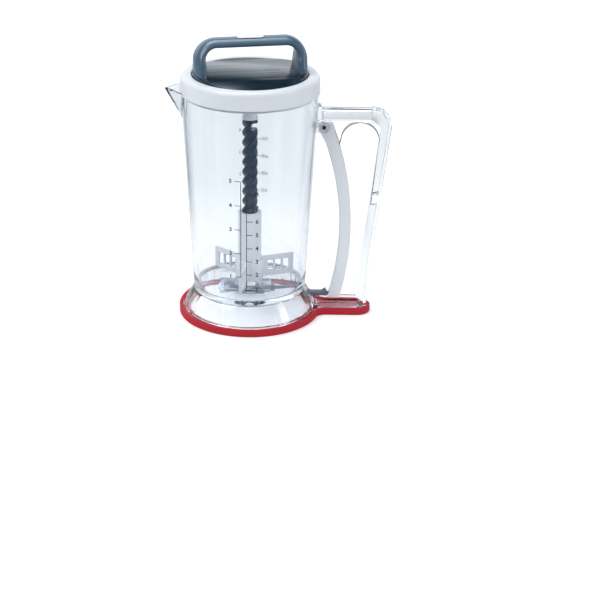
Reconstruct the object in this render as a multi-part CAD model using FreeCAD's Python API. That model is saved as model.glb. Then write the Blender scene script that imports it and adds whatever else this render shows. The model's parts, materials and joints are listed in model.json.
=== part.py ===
import FreeCAD, Part

import math
import os

from FreeCAD import Vector

# Pancake batter dispenser, in millimetres.
# The origin is on the jug's axis, at the underside of the foot ring.
# +Z is up, +X is towards the handle and -X towards the spout.

# Foot ring and base
ring_r = 56.0
ring_height = 6.0
ring_floor = 3.2
ring_land = 2.4
ring_width = 7.5
ring_bore_r = ring_r - ring_width
foot_arm_half_width = 11.0
foot_arm_end_x = 96.5
foot_arm_fillet = 8.0
flange_thickness = 2.0
skirt_wall = 1.8
trough_wall = 1.8
trough_height = 4.6
trough_end_x = 85.5

# Jug
jug_foot_r = 44.2
jug_foot_z = 21.5
jug_rim_r = 53.1
jug_rim_z = 183.5
jug_wall = 2.2
floor_under_z = 19.0
floor_step = 2.0
floor_edge_z = 24.4
floor_centre_z = 22.4
floor_r = 40.0
outlet_r = 5.0
spout_reach = 12.3
spout_half_width = 19.0
spout_depth = 25.0
spout_wall = 1.8

# Valve under the floor
valve_axis_z = 15.0
gate_thickness = 2.2
gate_width = 18.0
gate_half_length = 21.0
gate_clearance = 0.2
guide_wall = 3.3
guide_back = 25.0
guide_front = 17.0
guide_lip = 2.6
seal_r = 8.2
seal_thickness = 0.8
boss_r = 8.8
nozzle_wall = 1.5
nozzle_length = 4.6
rod_r = 2.4
rod_shoulder_x = 61.6
rod_neck_r = 1.3
rod_head_r = 2.2
rod_head_length = 1.8
rod_fin_height = 2.2
rod_hole_clearance = 0.7
rod_rim = 0.3
rod_play = 0.7
rod_travel = 11.1

# Handle
arm_z = 159.2
arm_height = 10.0
arm_width = 8.4
arm_wall = 1.9
arm_end_x = 93.5
arm_root_rise = 2.2
arm_root_width = 11.0
arm_root_length = 3.2
corner_x = 109.0
corner_drop = 13.7
grip_low_z = 32.0
grip_low_x = 94.4
grip_foot_x = 93.0
grip_depth = 8.0
grip_foot_depth = 6.5
grip_width = 12.0
grip_wall = 2.0
spring_seat_z = 96.0
spring_seat_height = 8.0

# Trigger
pivot_x = 57.0
pivot_z = 155.6
pin_r = 1.5
pin_clearance = 0.05
lever_width = 11.0
lever_depth = 9.2
lever_wall = 2.0
lever_side = 1.7
lever_top_z = 158.0
lever_foot_z = 13.0
lever_foot_x = 66.9
lever_bow = 10.2
lever_bow_top_x = 62.3
lever_bow_top_z = 147.0
lever_head_left = 4.4
lug_gap = 0.4
lug_thickness = 2.2
lug_reach = 4.2
lug_drop = 4.4
spring_thickness = 0.5
spring_width = 5.6

# Lid
lid_overhang = 0.75
lid_r = jug_rim_r + lid_overhang
lid_land = 9.05
lid_seat = 0.1
lid_top_z = 195.6
lid_edge_round = 4.2
lid_floor = 2.4
recess_depth = 2.4
plug_gap = 1.0
plug_r = jug_rim_r - jug_wall - plug_gap
plug_wall = 2.0
plug_depth = 4.2
lid_skirt_depth = 1.8
lid_skirt_clearance = 0.15
lid_seal_section = 2.0
lid_seal_proud = 0.45
socket_r = 7.2
socket_depth = 14.8
stem_r = 2.0
stem_clearance = 0.06
wiper_thickness = 2.6

# Spiral rod
collar_r = 5.0
collar_mouth_r = 6.4
collar_mouth_z = 160.0
collar_flare = 5.0
spiral_r = 6.0
spiral_root_r = 4.3
spiral_neck_r = 3.6
spiral_neck_length = 12.0
spiral_bore_r = 2.3
spiral_end_z = 76.5
spiral_lead = 32.0
spiral_starts = 4
spiral_tip_half_angle = 13.0
spiral_root_half_angle = 22.0
notch_height = 5.0
notch_gap = 3.4
notch_x = 1.3

# Plunger
stroke = 43.0
plate_gap = 0.5
plate_floor_gap = 0.2
plate_r = lid_r - lid_land - plate_gap
plate_edge = 1.2
plate_rise = 2.3
plate_band_half = 27.4
plate_crown = 1.2
bail_turn = 12.0
bail_half_span = plate_r - 1.0
bail_leg = 8.0
bail_rise = 27.1
bail_bar = 6.0
bail_corner_r = 17.0
bail_top_half_width = 8.5
bail_base_half_width = 17.0
bail_edge_round = 3.0
bail_inner_round = 1.0
badge_length = 21.0
badge_width = 7.4
badge_thickness = 0.8
badge_proud = 0.2

# Mixing head
hub_r = 9.2
hub_wall = 1.9
hub_plate_z = 27.6
hub_plate = 2.4
hub_top_z = 84.0
hub_nut_height = 7.0
hub_nut_r = 6.4
tooth_r = 0.9
tooth_tip_r = 4.9
shoulder_r = 3.6
shoulder_height = 1.5
axial_play = 0.3
clip_r = 4.4
clip_thickness = 1.8
sleeve_wall = 1.6
paddle_r = 37.0
paddle_height = 17.0
paddle_thickness = 2.0
paddle_count = 3
paddle_window_margin = 4.0
paddle_slots = 3

UP = Vector(0, 0, 1)


def cylinder(radius, z_low, z_high, x=0.0, y=0.0):
    return Part.makeCylinder(radius, z_high - z_low, Vector(x, y, z_low))


def tube(outer, inner, z_low, z_high, x=0.0):
    return cylinder(outer, z_low, z_high, x).cut(cylinder(inner, z_low - 1, z_high + 1, x))


def block(x_low, x_high, y_half, z_low, z_high):
    corner = Vector(x_low, -y_half, z_low)
    return Part.makeBox(x_high - x_low, 2 * y_half, z_high - z_low, corner)


def revolved(points):
    """Full turn about Z of a closed outline given as (radius, height) pairs."""
    corners = [Vector(r, 0, z) for r, z in points]
    face = Part.Face(Part.makePolygon(corners + [corners[0]]))
    return face.revolve(Vector(0, 0, 0), UP, 360)


def side_extrusion(edges, y_half):
    """Extrude a closed outline drawn in the XZ plane to both sides of it."""
    face = Part.Face(Part.Wire(edges))
    face.translate(Vector(0, -y_half, 0))
    return face.extrude(Vector(0, 2 * y_half, 0))


def side_point(x, z):
    return Vector(x, 0, z)


def line(a, b):
    return Part.LineSegment(a, b).toShape()


def arc(a, middle, b):
    return Part.Arc(a, middle, b).toShape()


def polar(radius, degrees, z=0.0):
    angle = math.radians(degrees)
    return Vector(radius * math.cos(angle), radius * math.sin(angle), z)


def wall_r(z):
    """Outer radius of the jug's tapered wall at a height."""
    share = (z - jug_foot_z) / (jug_rim_z - jug_foot_z)
    return jug_foot_r + share * (jug_rim_r - jug_foot_r)


def single(shape):
    """The one solid of a boolean result, with its split faces joined again."""
    clean = shape.removeSplitter()
    return clean.Solids[0] if len(clean.Solids) == 1 else clean


# Foot outline, shared by the ring, the flange and the trough
def foot_outline(inset, z_low, z_high):
    radius = ring_r - inset
    half = foot_arm_half_width - inset
    end_centre = foot_arm_end_x - foot_arm_half_width
    fillet = foot_arm_fillet + inset
    # The fillet is a circle that touches the ring's circle and the arm's side.
    fillet_y = half + fillet
    fillet_x = math.sqrt((radius + fillet) ** 2 - fillet_y ** 2)
    touch = Vector(fillet_x, fillet_y, 0) * (radius / (radius + fillet))
    web = [Vector(0, -touch.y, 0), Vector(touch.x, -touch.y, 0), Vector(fillet_x, -half, 0)]
    web += [Vector(end_centre, -half, 0), Vector(end_centre, half, 0)]
    web += [Vector(fillet_x, half, 0), Vector(touch.x, touch.y, 0), Vector(0, touch.y, 0)]
    face = Part.Face(Part.makePolygon(web + [web[0]]))
    face.translate(Vector(0, 0, z_low))
    body = face.extrude(Vector(0, 0, z_high - z_low))
    for side in (-1, 1):
        body = body.cut(cylinder(fillet, z_low - 1, z_high + 1, fillet_x, side * fillet_y))
    body = body.fuse(cylinder(radius, z_low, z_high))
    return single(body.fuse(cylinder(half, z_low, z_high, end_centre)))


flange_top = ring_floor + flange_thickness
skirt_foot_r = ring_r - ring_land - 0.2


def make_foot_ring():
    ring = foot_outline(0, 0, ring_height)
    ring = ring.cut(foot_outline(ring_land, ring_floor, ring_height + 1))
    ring = ring.cut(cylinder(ring_bore_r, -1, ring_height + 1))
    low_edges = [e for e in ring.Edges if abs(e.BoundBox.ZMax) < 0.01 and e.Length > 8]
    return single(ring.makeChamfer(0.6, low_edges))


def make_skirt():
    flange = foot_outline(ring_land, ring_floor, flange_top)
    flange = flange.cut(cylinder(ring_bore_r, 0, ring_height + 1))
    cone = revolved([
        (skirt_foot_r, flange_top - 0.5),
        (jug_foot_r, jug_foot_z),
        (jug_foot_r - skirt_wall, jug_foot_z),
        (skirt_foot_r - skirt_wall * 1.4, flange_top - 0.5),
    ])
    trough = foot_outline(ring_land, flange_top - 0.5, flange_top + trough_height)
    trough = trough.cut(foot_outline(ring_land + trough_wall, 0, jug_foot_z))
    keep = block(jug_foot_r, trough_end_x, foot_arm_half_width, 0, jug_foot_z)
    keep = keep.cut(Part.makeCone(skirt_foot_r - 1, jug_foot_r - 1, jug_foot_z - flange_top,
                                  Vector(0, 0, flange_top)))
    body = flange.fuse(cone).fuse(trough.common(keep))
    hole = Part.makeCylinder(rod_r + rod_hole_clearance, 30,
                             Vector(jug_foot_r - 5, 0, valve_axis_z), Vector(1, 0, 0))
    return single(body.cut(hole))


# Jug with its spout, and its floor: one clear moulding, kept as two nodes so that each has its
# own collision pieces
def spout_wedge(inset, top_z):
    tip = Vector(-(jug_rim_r + spout_reach - 1.6 * inset), 0, top_z)
    angle = math.asin(spout_half_width / jug_rim_r)
    root_x = -jug_rim_r * math.cos(angle) + inset
    near = Vector(root_x, -(spout_half_width - inset), top_z)
    far = Vector(root_x, spout_half_width - inset, top_z)
    back = Vector(-jug_foot_r + 10, 0, top_z)
    low = Vector(-wall_r(jug_rim_z - spout_depth) + inset + 0.6, 0, jug_rim_z - spout_depth + inset)
    faces = []
    for corners in ((tip, near, low), (tip, far, low), (near, back, low), (far, back, low)):
        faces.append(Part.Face(Part.makePolygon(list(corners) + [corners[0]])))
    faces.append(Part.Face(Part.makePolygon([tip, near, back, far, tip])))
    wedge = Part.Solid(Part.Shell(faces))
    if wedge.Volume < 0:
        wedge.reverse()
    return wedge


def jug_outer():
    return revolved([
        (0, floor_under_z),
        (jug_foot_r - floor_step, floor_under_z),
        (jug_foot_r - floor_step, jug_foot_z),
        (jug_foot_r, jug_foot_z),
        (jug_rim_r, jug_rim_z),
        (0, jug_rim_z),
    ])


def jug_moulding():
    over = 2.0
    inner_rim = wall_r(jug_rim_z + over) - jug_wall
    cavity = revolved([
        (0, floor_centre_z),
        (wall_r(floor_edge_z) - jug_wall - 2.5, floor_edge_z),
        (wall_r(floor_edge_z) - jug_wall - 0.7, floor_edge_z + 0.7),
        (wall_r(floor_edge_z) - jug_wall + 0.1, floor_edge_z + 2.5),
        (inner_rim, jug_rim_z + over),
        (0, jug_rim_z + over),
    ])
    outside = jug_outer().fuse(spout_wedge(0, jug_rim_z))
    inner_spout = spout_wedge(spout_wall, jug_rim_z)
    body = outside.cut(cavity).cut(inner_spout)
    boss_low = floor_under_z - outlet_boss_depth()
    body = body.fuse(cylinder(boss_r, boss_low, floor_centre_z - 0.5))
    return body.cut(cylinder(outlet_r, boss_low - 1, floor_edge_z))


def make_jug():
    return single(jug_moulding().cut(cylinder(floor_r, 0, jug_rim_z)))


def make_jug_floor():
    return single(jug_moulding().common(cylinder(floor_r, 0, jug_rim_z)))


# Valve
def gate_top():
    return valve_axis_z + gate_thickness / 2


def seal_low_z():
    return gate_top() + gate_clearance / 2


def outlet_boss_depth():
    return floor_under_z - (seal_low_z() + seal_thickness)


def make_valve_seal():
    low = seal_low_z()
    return tube(seal_r, outlet_r + 0.2, low, low + seal_thickness)


def make_valve_guide():
    half = gate_width / 2 + gate_clearance
    slot_low = valve_axis_z - gate_thickness / 2 - gate_clearance
    low = slot_low - guide_lip
    body = block(-guide_back, guide_front, half + guide_wall, low, floor_under_z)
    slot_high = gate_top() + gate_clearance
    body = body.cut(block(-guide_back - 1, guide_front + 1, half, slot_low, slot_high))
    body = body.cut(cylinder(boss_r + 0.2, slot_high - 1, floor_under_z + 1))
    body = body.cut(cylinder(outlet_r + 0.3, low - 1, slot_high))
    body = body.cut(rod_piece(rod_r + 0.3, gate_half_length - rod_travel - 1, guide_front + 1))
    upright = [e for e in body.Edges if abs(e.BoundBox.ZLength - e.Length) < 0.01 and e.Length > 6]
    return single(body.makeFillet(2.0, upright))


def make_outlet_nozzle():
    high = valve_axis_z - gate_thickness / 2 - gate_clearance - guide_lip
    return tube(outlet_r + 0.3 + nozzle_wall, outlet_r + 0.3, high - nozzle_length, high)


def make_gate_plate():
    low = valve_axis_z - gate_thickness / 2
    plate = block(-gate_half_length, gate_half_length, gate_width / 2, low, gate_top())
    upright = [e for e in plate.Edges if abs(e.BoundBox.ZLength - e.Length) < 0.01]
    plate = plate.makeFillet(2.5, upright)
    return single(plate.cut(cylinder(outlet_r + 0.2, low - 1, gate_top() + 1)))


def rod_head_low():
    """Near face of the rod's head, clear of the slanted front wall of the lever."""
    slant = 4 * lever_bow / (lever_bow_top_z - lever_foot_z)
    reach = valve_axis_z + rod_head_r - lever_foot_z
    return lever_foot_face() + lever_wall + reach * slant + rod_play


def rod_piece(radius, x_low, x_high):
    return Part.makeCylinder(radius, x_high - x_low, Vector(x_low, 0, valve_axis_z), Vector(1, 0, 0))


def make_valve_rod():
    head_low = rod_head_low()
    shank = rod_piece(rod_r, gate_half_length, rod_shoulder_x)
    rim = rod_piece(rod_r + rod_rim, rod_shoulder_x - 1.6, rod_shoulder_x)
    neck = rod_piece(rod_neck_r, rod_shoulder_x - 1, head_low + rod_head_length)
    head = rod_piece(rod_head_r, head_low, head_low + rod_head_length)
    fin_x = rod_shoulder_x - 1.6
    top = valve_axis_z + rod_r
    fin_edges = [side_point(fin_x - 3.4, top - 0.6), side_point(fin_x + 1.2, top - 0.6)]
    fin_edges += [side_point(fin_x + 0.4, top + rod_fin_height)]
    fin = side_extrusion(Part.makePolygon(fin_edges + [fin_edges[0]]).Edges, 0.9)
    return single(shank.fuse([rim, neck, head, fin]))


# Handle
def grip_inner_x(z):
    """Inner edge of the grip along its straight run."""
    share = (z - grip_low_z) / (arm_z + arm_height - corner_drop - grip_low_z)
    outer = grip_low_x + share * (corner_x - grip_low_x)
    return outer - grip_depth


def grip_outline(wall, opened):
    """Side outline of the corner and grip, or of the channel inside its wall."""
    top = arm_z + arm_height
    foot_z = flange_top + wall
    knee_z = top - corner_drop
    outer_top = side_point(arm_end_x, top - wall)
    outer_mid_x = arm_end_x + (corner_x - arm_end_x) * 0.72
    outer_mid = side_point(outer_mid_x - wall * 0.6, top - corner_drop * 0.29 - wall * 0.8)
    outer_knee = side_point(corner_x - wall, knee_z)
    outer_low = side_point(grip_low_x - wall, grip_low_z)
    outer_foot = side_point(grip_foot_x - wall, foot_z)
    inner_foot = side_point(grip_foot_x - grip_foot_depth - opened, foot_z)
    inner_low = side_point(grip_inner_x(grip_low_z) - opened, grip_low_z)
    inner_knee_z = knee_z - 6
    inner_knee = side_point(grip_inner_x(inner_knee_z) - opened, inner_knee_z)
    inner_top = side_point(arm_end_x, arm_z - opened)
    inner_mid_x = arm_end_x + (grip_inner_x(knee_z) - arm_end_x) * 0.74
    inner_mid = side_point(inner_mid_x - opened * 0.6, arm_z - 2.7 - opened * 0.7)
    return [
        arc(outer_top, outer_mid, outer_knee),
        line(outer_knee, outer_low),
        line(outer_low, outer_foot),
        line(outer_foot, inner_foot),
        line(inner_foot, inner_low),
        line(inner_low, inner_knee),
        arc(inner_knee, inner_mid, inner_top),
        line(inner_top, outer_top),
    ]


def make_grip():
    body = side_extrusion(grip_outline(0, 0), grip_width / 2)
    rounded = [e for e in body.Edges if is_outer_grip_edge(e)]
    body = body.makeFillet(1.4, rounded)
    channel = side_extrusion(grip_outline(grip_wall, 3.0), grip_width / 2 - grip_wall)
    seat_high = spring_seat_z + spring_seat_height / 2
    seat_low = spring_seat_z - spring_seat_height / 2
    inner = grip_inner_x(spring_seat_z)
    clear = spring_inset + spring_thickness / 2
    seat_corners = [side_point(grip_inner_x(seat_low) + clear, seat_low)]
    seat_corners += [side_point(inner + grip_depth - grip_wall / 2, seat_low)]
    seat_corners += [side_point(inner + grip_depth - grip_wall / 2, seat_high)]
    seat_corners += [side_point(grip_inner_x(seat_high) + clear, seat_high)]
    seat = side_extrusion(Part.makePolygon(seat_corners + [seat_corners[0]]).Edges, grip_width / 2 - 1)
    body = body.cut(channel).fuse(seat)
    return single(body.cut(make_foot_ring()))


def is_outer_grip_edge(edge):
    """Long edges of the two flat sides along the back of the corner and grip."""
    box = edge.BoundBox
    flat = box.YLength < 0.01
    behind = edge.CenterOfMass.x > grip_inner_x(edge.CenterOfMass.z) + grip_depth * 0.7
    return flat and behind and edge.Length > 8


def make_top_arm():
    root = block(jug_rim_r - 6, wall_r(arm_z) + arm_root_length, arm_root_width / 2,
                 arm_z, arm_z + arm_height + arm_root_rise)
    bar = block(jug_rim_r - 6, arm_end_x, arm_width / 2, arm_z, arm_z + arm_height)
    channel = block(wall_r(arm_z) + arm_root_length, arm_end_x + 1, arm_width / 2 - arm_wall,
                    arm_z - 1, arm_z + arm_height - arm_wall)
    long_edges = [e for e in bar.Edges if e.BoundBox.XLength > 10 and e.BoundBox.ZMin > arm_z + 1]
    bar = bar.makeFillet(1.2, long_edges)
    return single(bar.fuse(root).cut(channel).cut(jug_outer()))


def make_pivot_lugs():
    inner = lever_width / 2 + lug_gap
    low = pivot_z - lug_drop
    high = pivot_z + (arm_z - pivot_z)
    full = block(jug_rim_r - 8, pivot_x, inner + lug_thickness, low, high)
    nose = Part.makeCylinder(lug_drop, 2 * (inner + lug_thickness),
                             Vector(pivot_x, -inner - lug_thickness, pivot_z), Vector(0, 1, 0))
    nose = nose.common(block(0, pivot_x + lug_reach, 50, low, arm_z))
    body = full.fuse(nose).cut(block(0, pivot_x + 20, inner, low - 1, high + 1))
    body = body.cut(jug_outer()).cut(pin_cylinder(pin_r, 20))
    return body.removeSplitter()


def pin_cylinder(radius, half_length):
    return Part.makeCylinder(radius, 2 * half_length, Vector(pivot_x, -half_length, pivot_z),
                             Vector(0, 1, 0))


def make_pivot_pin():
    half = lever_width / 2 + lug_gap + lug_thickness + 0.6
    return pin_cylinder(pin_r, half)


# Trigger lever
def lever_bow_middle(shift):
    """Middle of the bowed run, shifted square to its chord."""
    x = (lever_bow_top_x + lever_foot_x) / 2 + lever_bow + shift
    z = (lever_bow_top_z + lever_foot_z) / 2
    return side_point(x, z)


def lever_foot_face():
    return lever_foot_x - lever_depth / 2


def lever_outline(wall, opened):
    half = lever_depth / 2
    left = -half + wall
    right = half + opened
    head_low = side_point(pivot_x - lever_head_left + wall + 1.2, pivot_z - 4.6)
    head_left = side_point(pivot_x - lever_head_left + wall, lever_top_z - wall)
    head_right = side_point(pivot_x + 6.4, lever_top_z - wall)
    right_top = side_point(lever_bow_top_x + right, lever_bow_top_z)
    left_top = side_point(lever_bow_top_x + left + 0.4, lever_bow_top_z - 4)
    foot_right = side_point(lever_foot_x + right, lever_foot_z)
    foot_left = side_point(lever_foot_x + left, lever_foot_z)
    if opened:
        head_right = side_point(pivot_x + 6.4 + opened, lever_top_z - wall)
    return [
        line(head_left, head_right),
        line(head_right, right_top),
        arc(right_top, lever_bow_middle(right), foot_right),
        line(foot_right, foot_left),
        arc(foot_left, lever_bow_middle(left), left_top),
        line(left_top, head_low),
        line(head_low, head_left),
    ]


def make_trigger_lever():
    body = side_extrusion(lever_outline(0, 0), lever_width / 2)
    back = [e for e in body.Edges if e.BoundBox.YLength < 0.01 and e.Length > 60]
    back = [e for e in back if e.CenterOfMass.x < lever_bow_middle(0).x]
    body = body.makeFillet(1.3, back)
    channel = side_extrusion(lever_outline(lever_wall, 4.0), lever_width / 2 - lever_side)
    boss = pin_cylinder(pin_r + 1.7, lever_width / 2)
    rib_z = spring_tip_z + 2
    rib_left = spring_tip_x - lever_wall - 2.2
    rib = block(rib_left, spring_tip_x - 0.4, lever_width / 2 - 0.5, rib_z - 4, rib_z)
    body = body.cut(channel).fuse(boss).fuse(rib)
    body = body.cut(pin_cylinder(pin_r + pin_clearance, lever_width))
    slot = block(lever_foot_face() - 1, rod_head_low(),
                 rod_neck_r + 0.5, lever_foot_z - 1, valve_axis_z + rod_neck_r + 0.9)
    return single(body.cut(slot))


# Leaf spring
spring_inset = 0.5
spring_tip_x = 67.4
spring_tip_z = 134.0
spring_rise_x = 70.3
spring_rise_z = 145.0
spring_crown_x = 85.0
spring_crown_gap = 0.7
spring_fall_z = 143.0


def spring_path(shift):
    """One face of the strip, offset by shift from its middle line."""
    crown_z = arm_z - spring_crown_gap - spring_thickness / 2 + shift
    fall_x = grip_inner_x(spring_fall_z) + spring_inset + shift
    tip = side_point(spring_tip_x - shift, spring_tip_z)
    rise = side_point(spring_rise_x - shift, spring_rise_z)
    rise_mid = side_point(spring_rise_x + 5.0 - shift * 0.7, crown_z - 3.6 + shift * 0.7 - shift)
    crown = side_point(spring_crown_x, crown_z)
    fall_mid_x = spring_crown_x + (fall_x - shift - spring_crown_x) * 0.74 + shift * 0.7
    fall_mid = side_point(fall_mid_x, crown_z - shift - 5.2 + shift * 0.7)
    fall = side_point(fall_x, spring_fall_z)
    seat_low = spring_seat_z - spring_seat_height / 2
    end = side_point(grip_inner_x(seat_low) + spring_inset + shift, seat_low)
    return [
        line(tip, rise),
        arc(rise, rise_mid, crown),
        arc(crown, fall_mid, fall),
        line(fall, end),
    ]


def make_leaf_spring():
    outer = spring_path(spring_thickness / 2)
    inner = spring_path(-spring_thickness / 2)
    start = line(inner[0].Vertexes[0].Point, outer[0].Vertexes[0].Point)
    stop = line(outer[-1].Vertexes[1].Point, inner[-1].Vertexes[1].Point)
    wire = Part.Wire(Part.__sortEdges__([start] + outer + [stop] + inner))
    return side_extrusion(wire.Edges, spring_width / 2)


# Lid
def lid_floor_z():
    return lid_top_z - recess_depth


def lid_under_z():
    return lid_floor_z() - lid_floor


def make_lid():
    seat = jug_rim_z + lid_seat
    round_x = lid_r - 0.7 - lid_edge_round
    points = [
        (stem_r + stem_clearance, lid_under_z()),
        (stem_r + stem_clearance, lid_floor_z()),
        (plate_r + plate_gap, lid_floor_z()),
        (plate_r + plate_gap, lid_top_z),
        (round_x, lid_top_z),
    ]
    for step in range(1, 7):
        angle = math.radians(90 - 15 * step)
        points.append((round_x + lid_edge_round * math.cos(angle),
                       lid_top_z - lid_edge_round + lid_edge_round * math.sin(angle)))
    points += [
        (lid_r, seat - lid_skirt_depth),
        (jug_rim_r + lid_skirt_clearance, seat - lid_skirt_depth),
        (jug_rim_r + lid_skirt_clearance, seat),
        (plug_r, seat),
        (plug_r, jug_rim_z - plug_depth),
        (plug_r - plug_wall, jug_rim_z - plug_depth),
        (plug_r - plug_wall, lid_under_z()),
        (socket_r, lid_under_z()),
        (socket_r, lid_under_z() - socket_depth),
        (collar_r, lid_under_z() - socket_depth),
        (collar_r, lid_under_z()),
    ]
    body = revolved(points)
    groove_z = jug_rim_z - plug_depth + 1.0
    groove = tube(plug_r + 0.1, plug_r - 0.8, groove_z, groove_z + lid_seal_section)
    spout_gap = block(-lid_r - 1, -plug_r + 4, spout_half_width + 1, seat - lid_skirt_depth - 1, seat)
    spout_gap = spout_gap.cut(cylinder(jug_rim_r, 0, seat))
    return single(body.cut(groove).cut(spout_gap))


def make_lid_seal():
    groove_z = jug_rim_z - plug_depth + 1.0
    return tube(plug_r + lid_seal_proud, plug_r - 0.8, groove_z, groove_z + lid_seal_section)


def make_stem_wiper():
    return tube(collar_r, stem_r + 0.3, lid_under_z() - wiper_thickness, lid_under_z())


# Collar and spiral rod
def collar_top():
    return lid_under_z() - wiper_thickness


def make_rod_collar():
    return revolved([
        (spiral_neck_r, collar_mouth_z),
        (collar_mouth_r, collar_mouth_z),
        (collar_mouth_r, collar_mouth_z + 0.8),
        (collar_r, collar_mouth_z + collar_flare),
        (collar_r, collar_top()),
        (spiral_bore_r, collar_top()),
        (spiral_bore_r, collar_mouth_z + spiral_neck_length),
        (spiral_neck_r, collar_mouth_z + spiral_neck_length),
    ])


def spiral_section(z):
    """Lobed section of the spiral, turned to the angle that it has at a height."""
    turn = 360.0 * (z - spiral_end_z) / spiral_lead
    pitch = 360.0 / spiral_starts
    edges = []
    for start in range(spiral_starts):
        middle = turn + start * pitch
        tip_a = polar(spiral_r, middle - spiral_tip_half_angle, z)
        tip_b = polar(spiral_r, middle + spiral_tip_half_angle, z)
        root_a = polar(spiral_root_r, middle + pitch / 2 - spiral_root_half_angle, z)
        root_b = polar(spiral_root_r, middle + pitch / 2 + spiral_root_half_angle, z)
        next_tip = polar(spiral_r, middle + pitch - spiral_tip_half_angle, z)
        edges.append(arc(tip_a, polar(spiral_r, middle, z), tip_b))
        edges.append(line(tip_b, root_a))
        edges.append(arc(root_a, polar(spiral_root_r, middle + pitch / 2, z), root_b))
        edges.append(line(root_b, next_tip))
    return Part.Wire(edges)


def make_spiral_rod():
    length = collar_mouth_z - spiral_end_z
    spine = Part.Wire(line(Vector(0, 0, spiral_end_z), Vector(0, 0, collar_mouth_z)))
    guide = Part.makeHelix(spiral_lead, length, spiral_r)
    guide.translate(Vector(0, 0, spiral_end_z))
    sweep = Part.BRepOffsetAPI.MakePipeShell(spine)
    sweep.setAuxiliarySpine(Part.Wire(guide.Edges), True, False)
    sweep.add(spiral_section(spiral_end_z))
    sweep.build()
    sweep.makeSolid()
    body = sweep.shape()
    if body.Volume < 0:
        body.reverse()
    neck = cylinder(spiral_neck_r, collar_mouth_z, collar_mouth_z + spiral_neck_length)
    body = body.fuse(neck)
    body = body.cut(cylinder(spiral_bore_r, spiral_end_z - 1, collar_mouth_z + 40))
    notch_high = collar_mouth_z - notch_gap
    notch = Part.makeBox(spiral_r, 2 * spiral_r, notch_height,
                         Vector(notch_x, -spiral_r, notch_high - notch_height))
    return single(body.cut(notch))


# Plunger
def plate_low():
    return lid_floor_z() + plate_floor_gap


def plate_top():
    return plate_low() + plate_edge + plate_rise


def bail_top():
    return plate_top() + bail_rise


def turned(shape):
    turned_shape = shape.copy()
    turned_shape.rotate(Vector(0, 0, 0), UP, bail_turn)
    return turned_shape


def make_plate_blank():
    low = plate_low()
    edge = low + plate_edge
    top = plate_top()
    rim = plate_r + 1
    corners = [Vector(0, -rim, low), Vector(0, rim, low), Vector(0, rim, edge)]
    corners += [Vector(0, plate_band_half, top)]
    near = Vector(0, -plate_band_half, top)
    outline = [line(corners[0], corners[1]), line(corners[1], corners[2])]
    outline += [line(corners[2], corners[3])]
    outline += [arc(corners[3], Vector(0, 0, top + plate_crown), near)]
    outline += [line(near, Vector(0, -rim, edge)), line(Vector(0, -rim, edge), corners[0])]
    face = Part.Face(Part.Wire(outline))
    face.translate(Vector(-rim, 0, 0))
    prism = face.extrude(Vector(2 * rim, 0, 0))
    return prism.common(cylinder(plate_r, low, top + plate_crown + 1))


def bail_outline(inset, leg_low):
    span = bail_half_span - inset
    top = bail_top() - (bail_bar if inset else 0)
    corner = bail_corner_r - (inset * 0.8)
    reach = corner * (1 - math.sqrt(0.5))
    left_low = side_point(-span, leg_low)
    left_high = side_point(-span, top - corner)
    left_mid = side_point(-span + reach, top - reach)
    left_top = side_point(-span + corner, top)
    right_top = side_point(span - corner, top)
    right_mid = side_point(span - reach, top - reach)
    right_high = side_point(span, top - corner)
    right_low = side_point(span, leg_low)
    return [
        line(left_low, left_high),
        arc(left_high, left_mid, left_top),
        line(left_top, right_top),
        arc(right_top, right_mid, right_high),
        line(right_high, right_low),
        line(right_low, left_low),
    ]


def is_inner_bail_edge(edge):
    centre = edge.CenterOfMass
    return abs(centre.x) < bail_half_span - bail_leg / 2 and centre.z < bail_top() - bail_bar / 2


def make_bail_blank():
    low = plate_low() + plate_edge
    outer = side_extrusion(bail_outline(0, low), bail_base_half_width + 4)
    inner = side_extrusion(bail_outline(bail_leg, low - 1), bail_base_half_width + 6)
    strap = outer.cut(inner)
    base = bail_base_half_width
    top = bail_top_half_width
    corners = [Vector(0, -base, low), Vector(0, base, low)]
    corners += [Vector(0, top, bail_top()), Vector(0, -top, bail_top())]
    face = Part.Face(Part.makePolygon(corners + [corners[0]]))
    face.translate(Vector(-bail_half_span - 1, 0, 0))
    taper = face.extrude(Vector(2 * bail_half_span + 2, 0, 0))
    strap = strap.common(taper)
    sides = [e for e in strap.Edges if e.BoundBox.ZMax > low + 0.5 and abs(e.CenterOfMass.y) > 2]
    inside = [e for e in sides if is_inner_bail_edge(e)]
    outside = [e for e in sides if not is_inner_bail_edge(e)]
    strap = strap.makeFillet(bail_edge_round, outside)
    return strap.common(cylinder(plate_r, low - 1, bail_top() + 5))


def make_plunger_plate():
    return single(turned(make_plate_blank()))


def make_bail():
    return single(turned(make_bail_blank().cut(make_plate_blank()).cut(badge_blank())))


def badge_blank():
    half = badge_length / 2 - badge_width / 2
    high = bail_top() + badge_proud
    low = high - badge_thickness
    pill = Part.makeBox(2 * half, badge_width, high - low, Vector(-half, -badge_width / 2, low))
    for side in (-1, 1):
        pill = pill.fuse(cylinder(badge_width / 2, low, high, side * half))
    return pill.removeSplitter()


def make_badge():
    return single(turned(badge_blank()))


def make_stem():
    shaft = cylinder(stem_r, clip_low(), plate_low())
    ring_low = hub_plate_z + hub_plate + axial_play
    return single(shaft.fuse(cylinder(shoulder_r, ring_low, ring_low + shoulder_height)))


# Mixing head
def clip_low():
    return hub_plate_z - axial_play - clip_thickness


def make_stem_clip():
    ring = tube(clip_r, stem_r, clip_low(), clip_low() + clip_thickness)
    gap = Part.makeBox(clip_r + 1, 1.6, clip_thickness + 2, Vector(stem_r * 0.7, -0.8, clip_low() - 1))
    return single(ring.cut(gap))


def hub_nut_low():
    return hub_top_z - hub_nut_height


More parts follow.
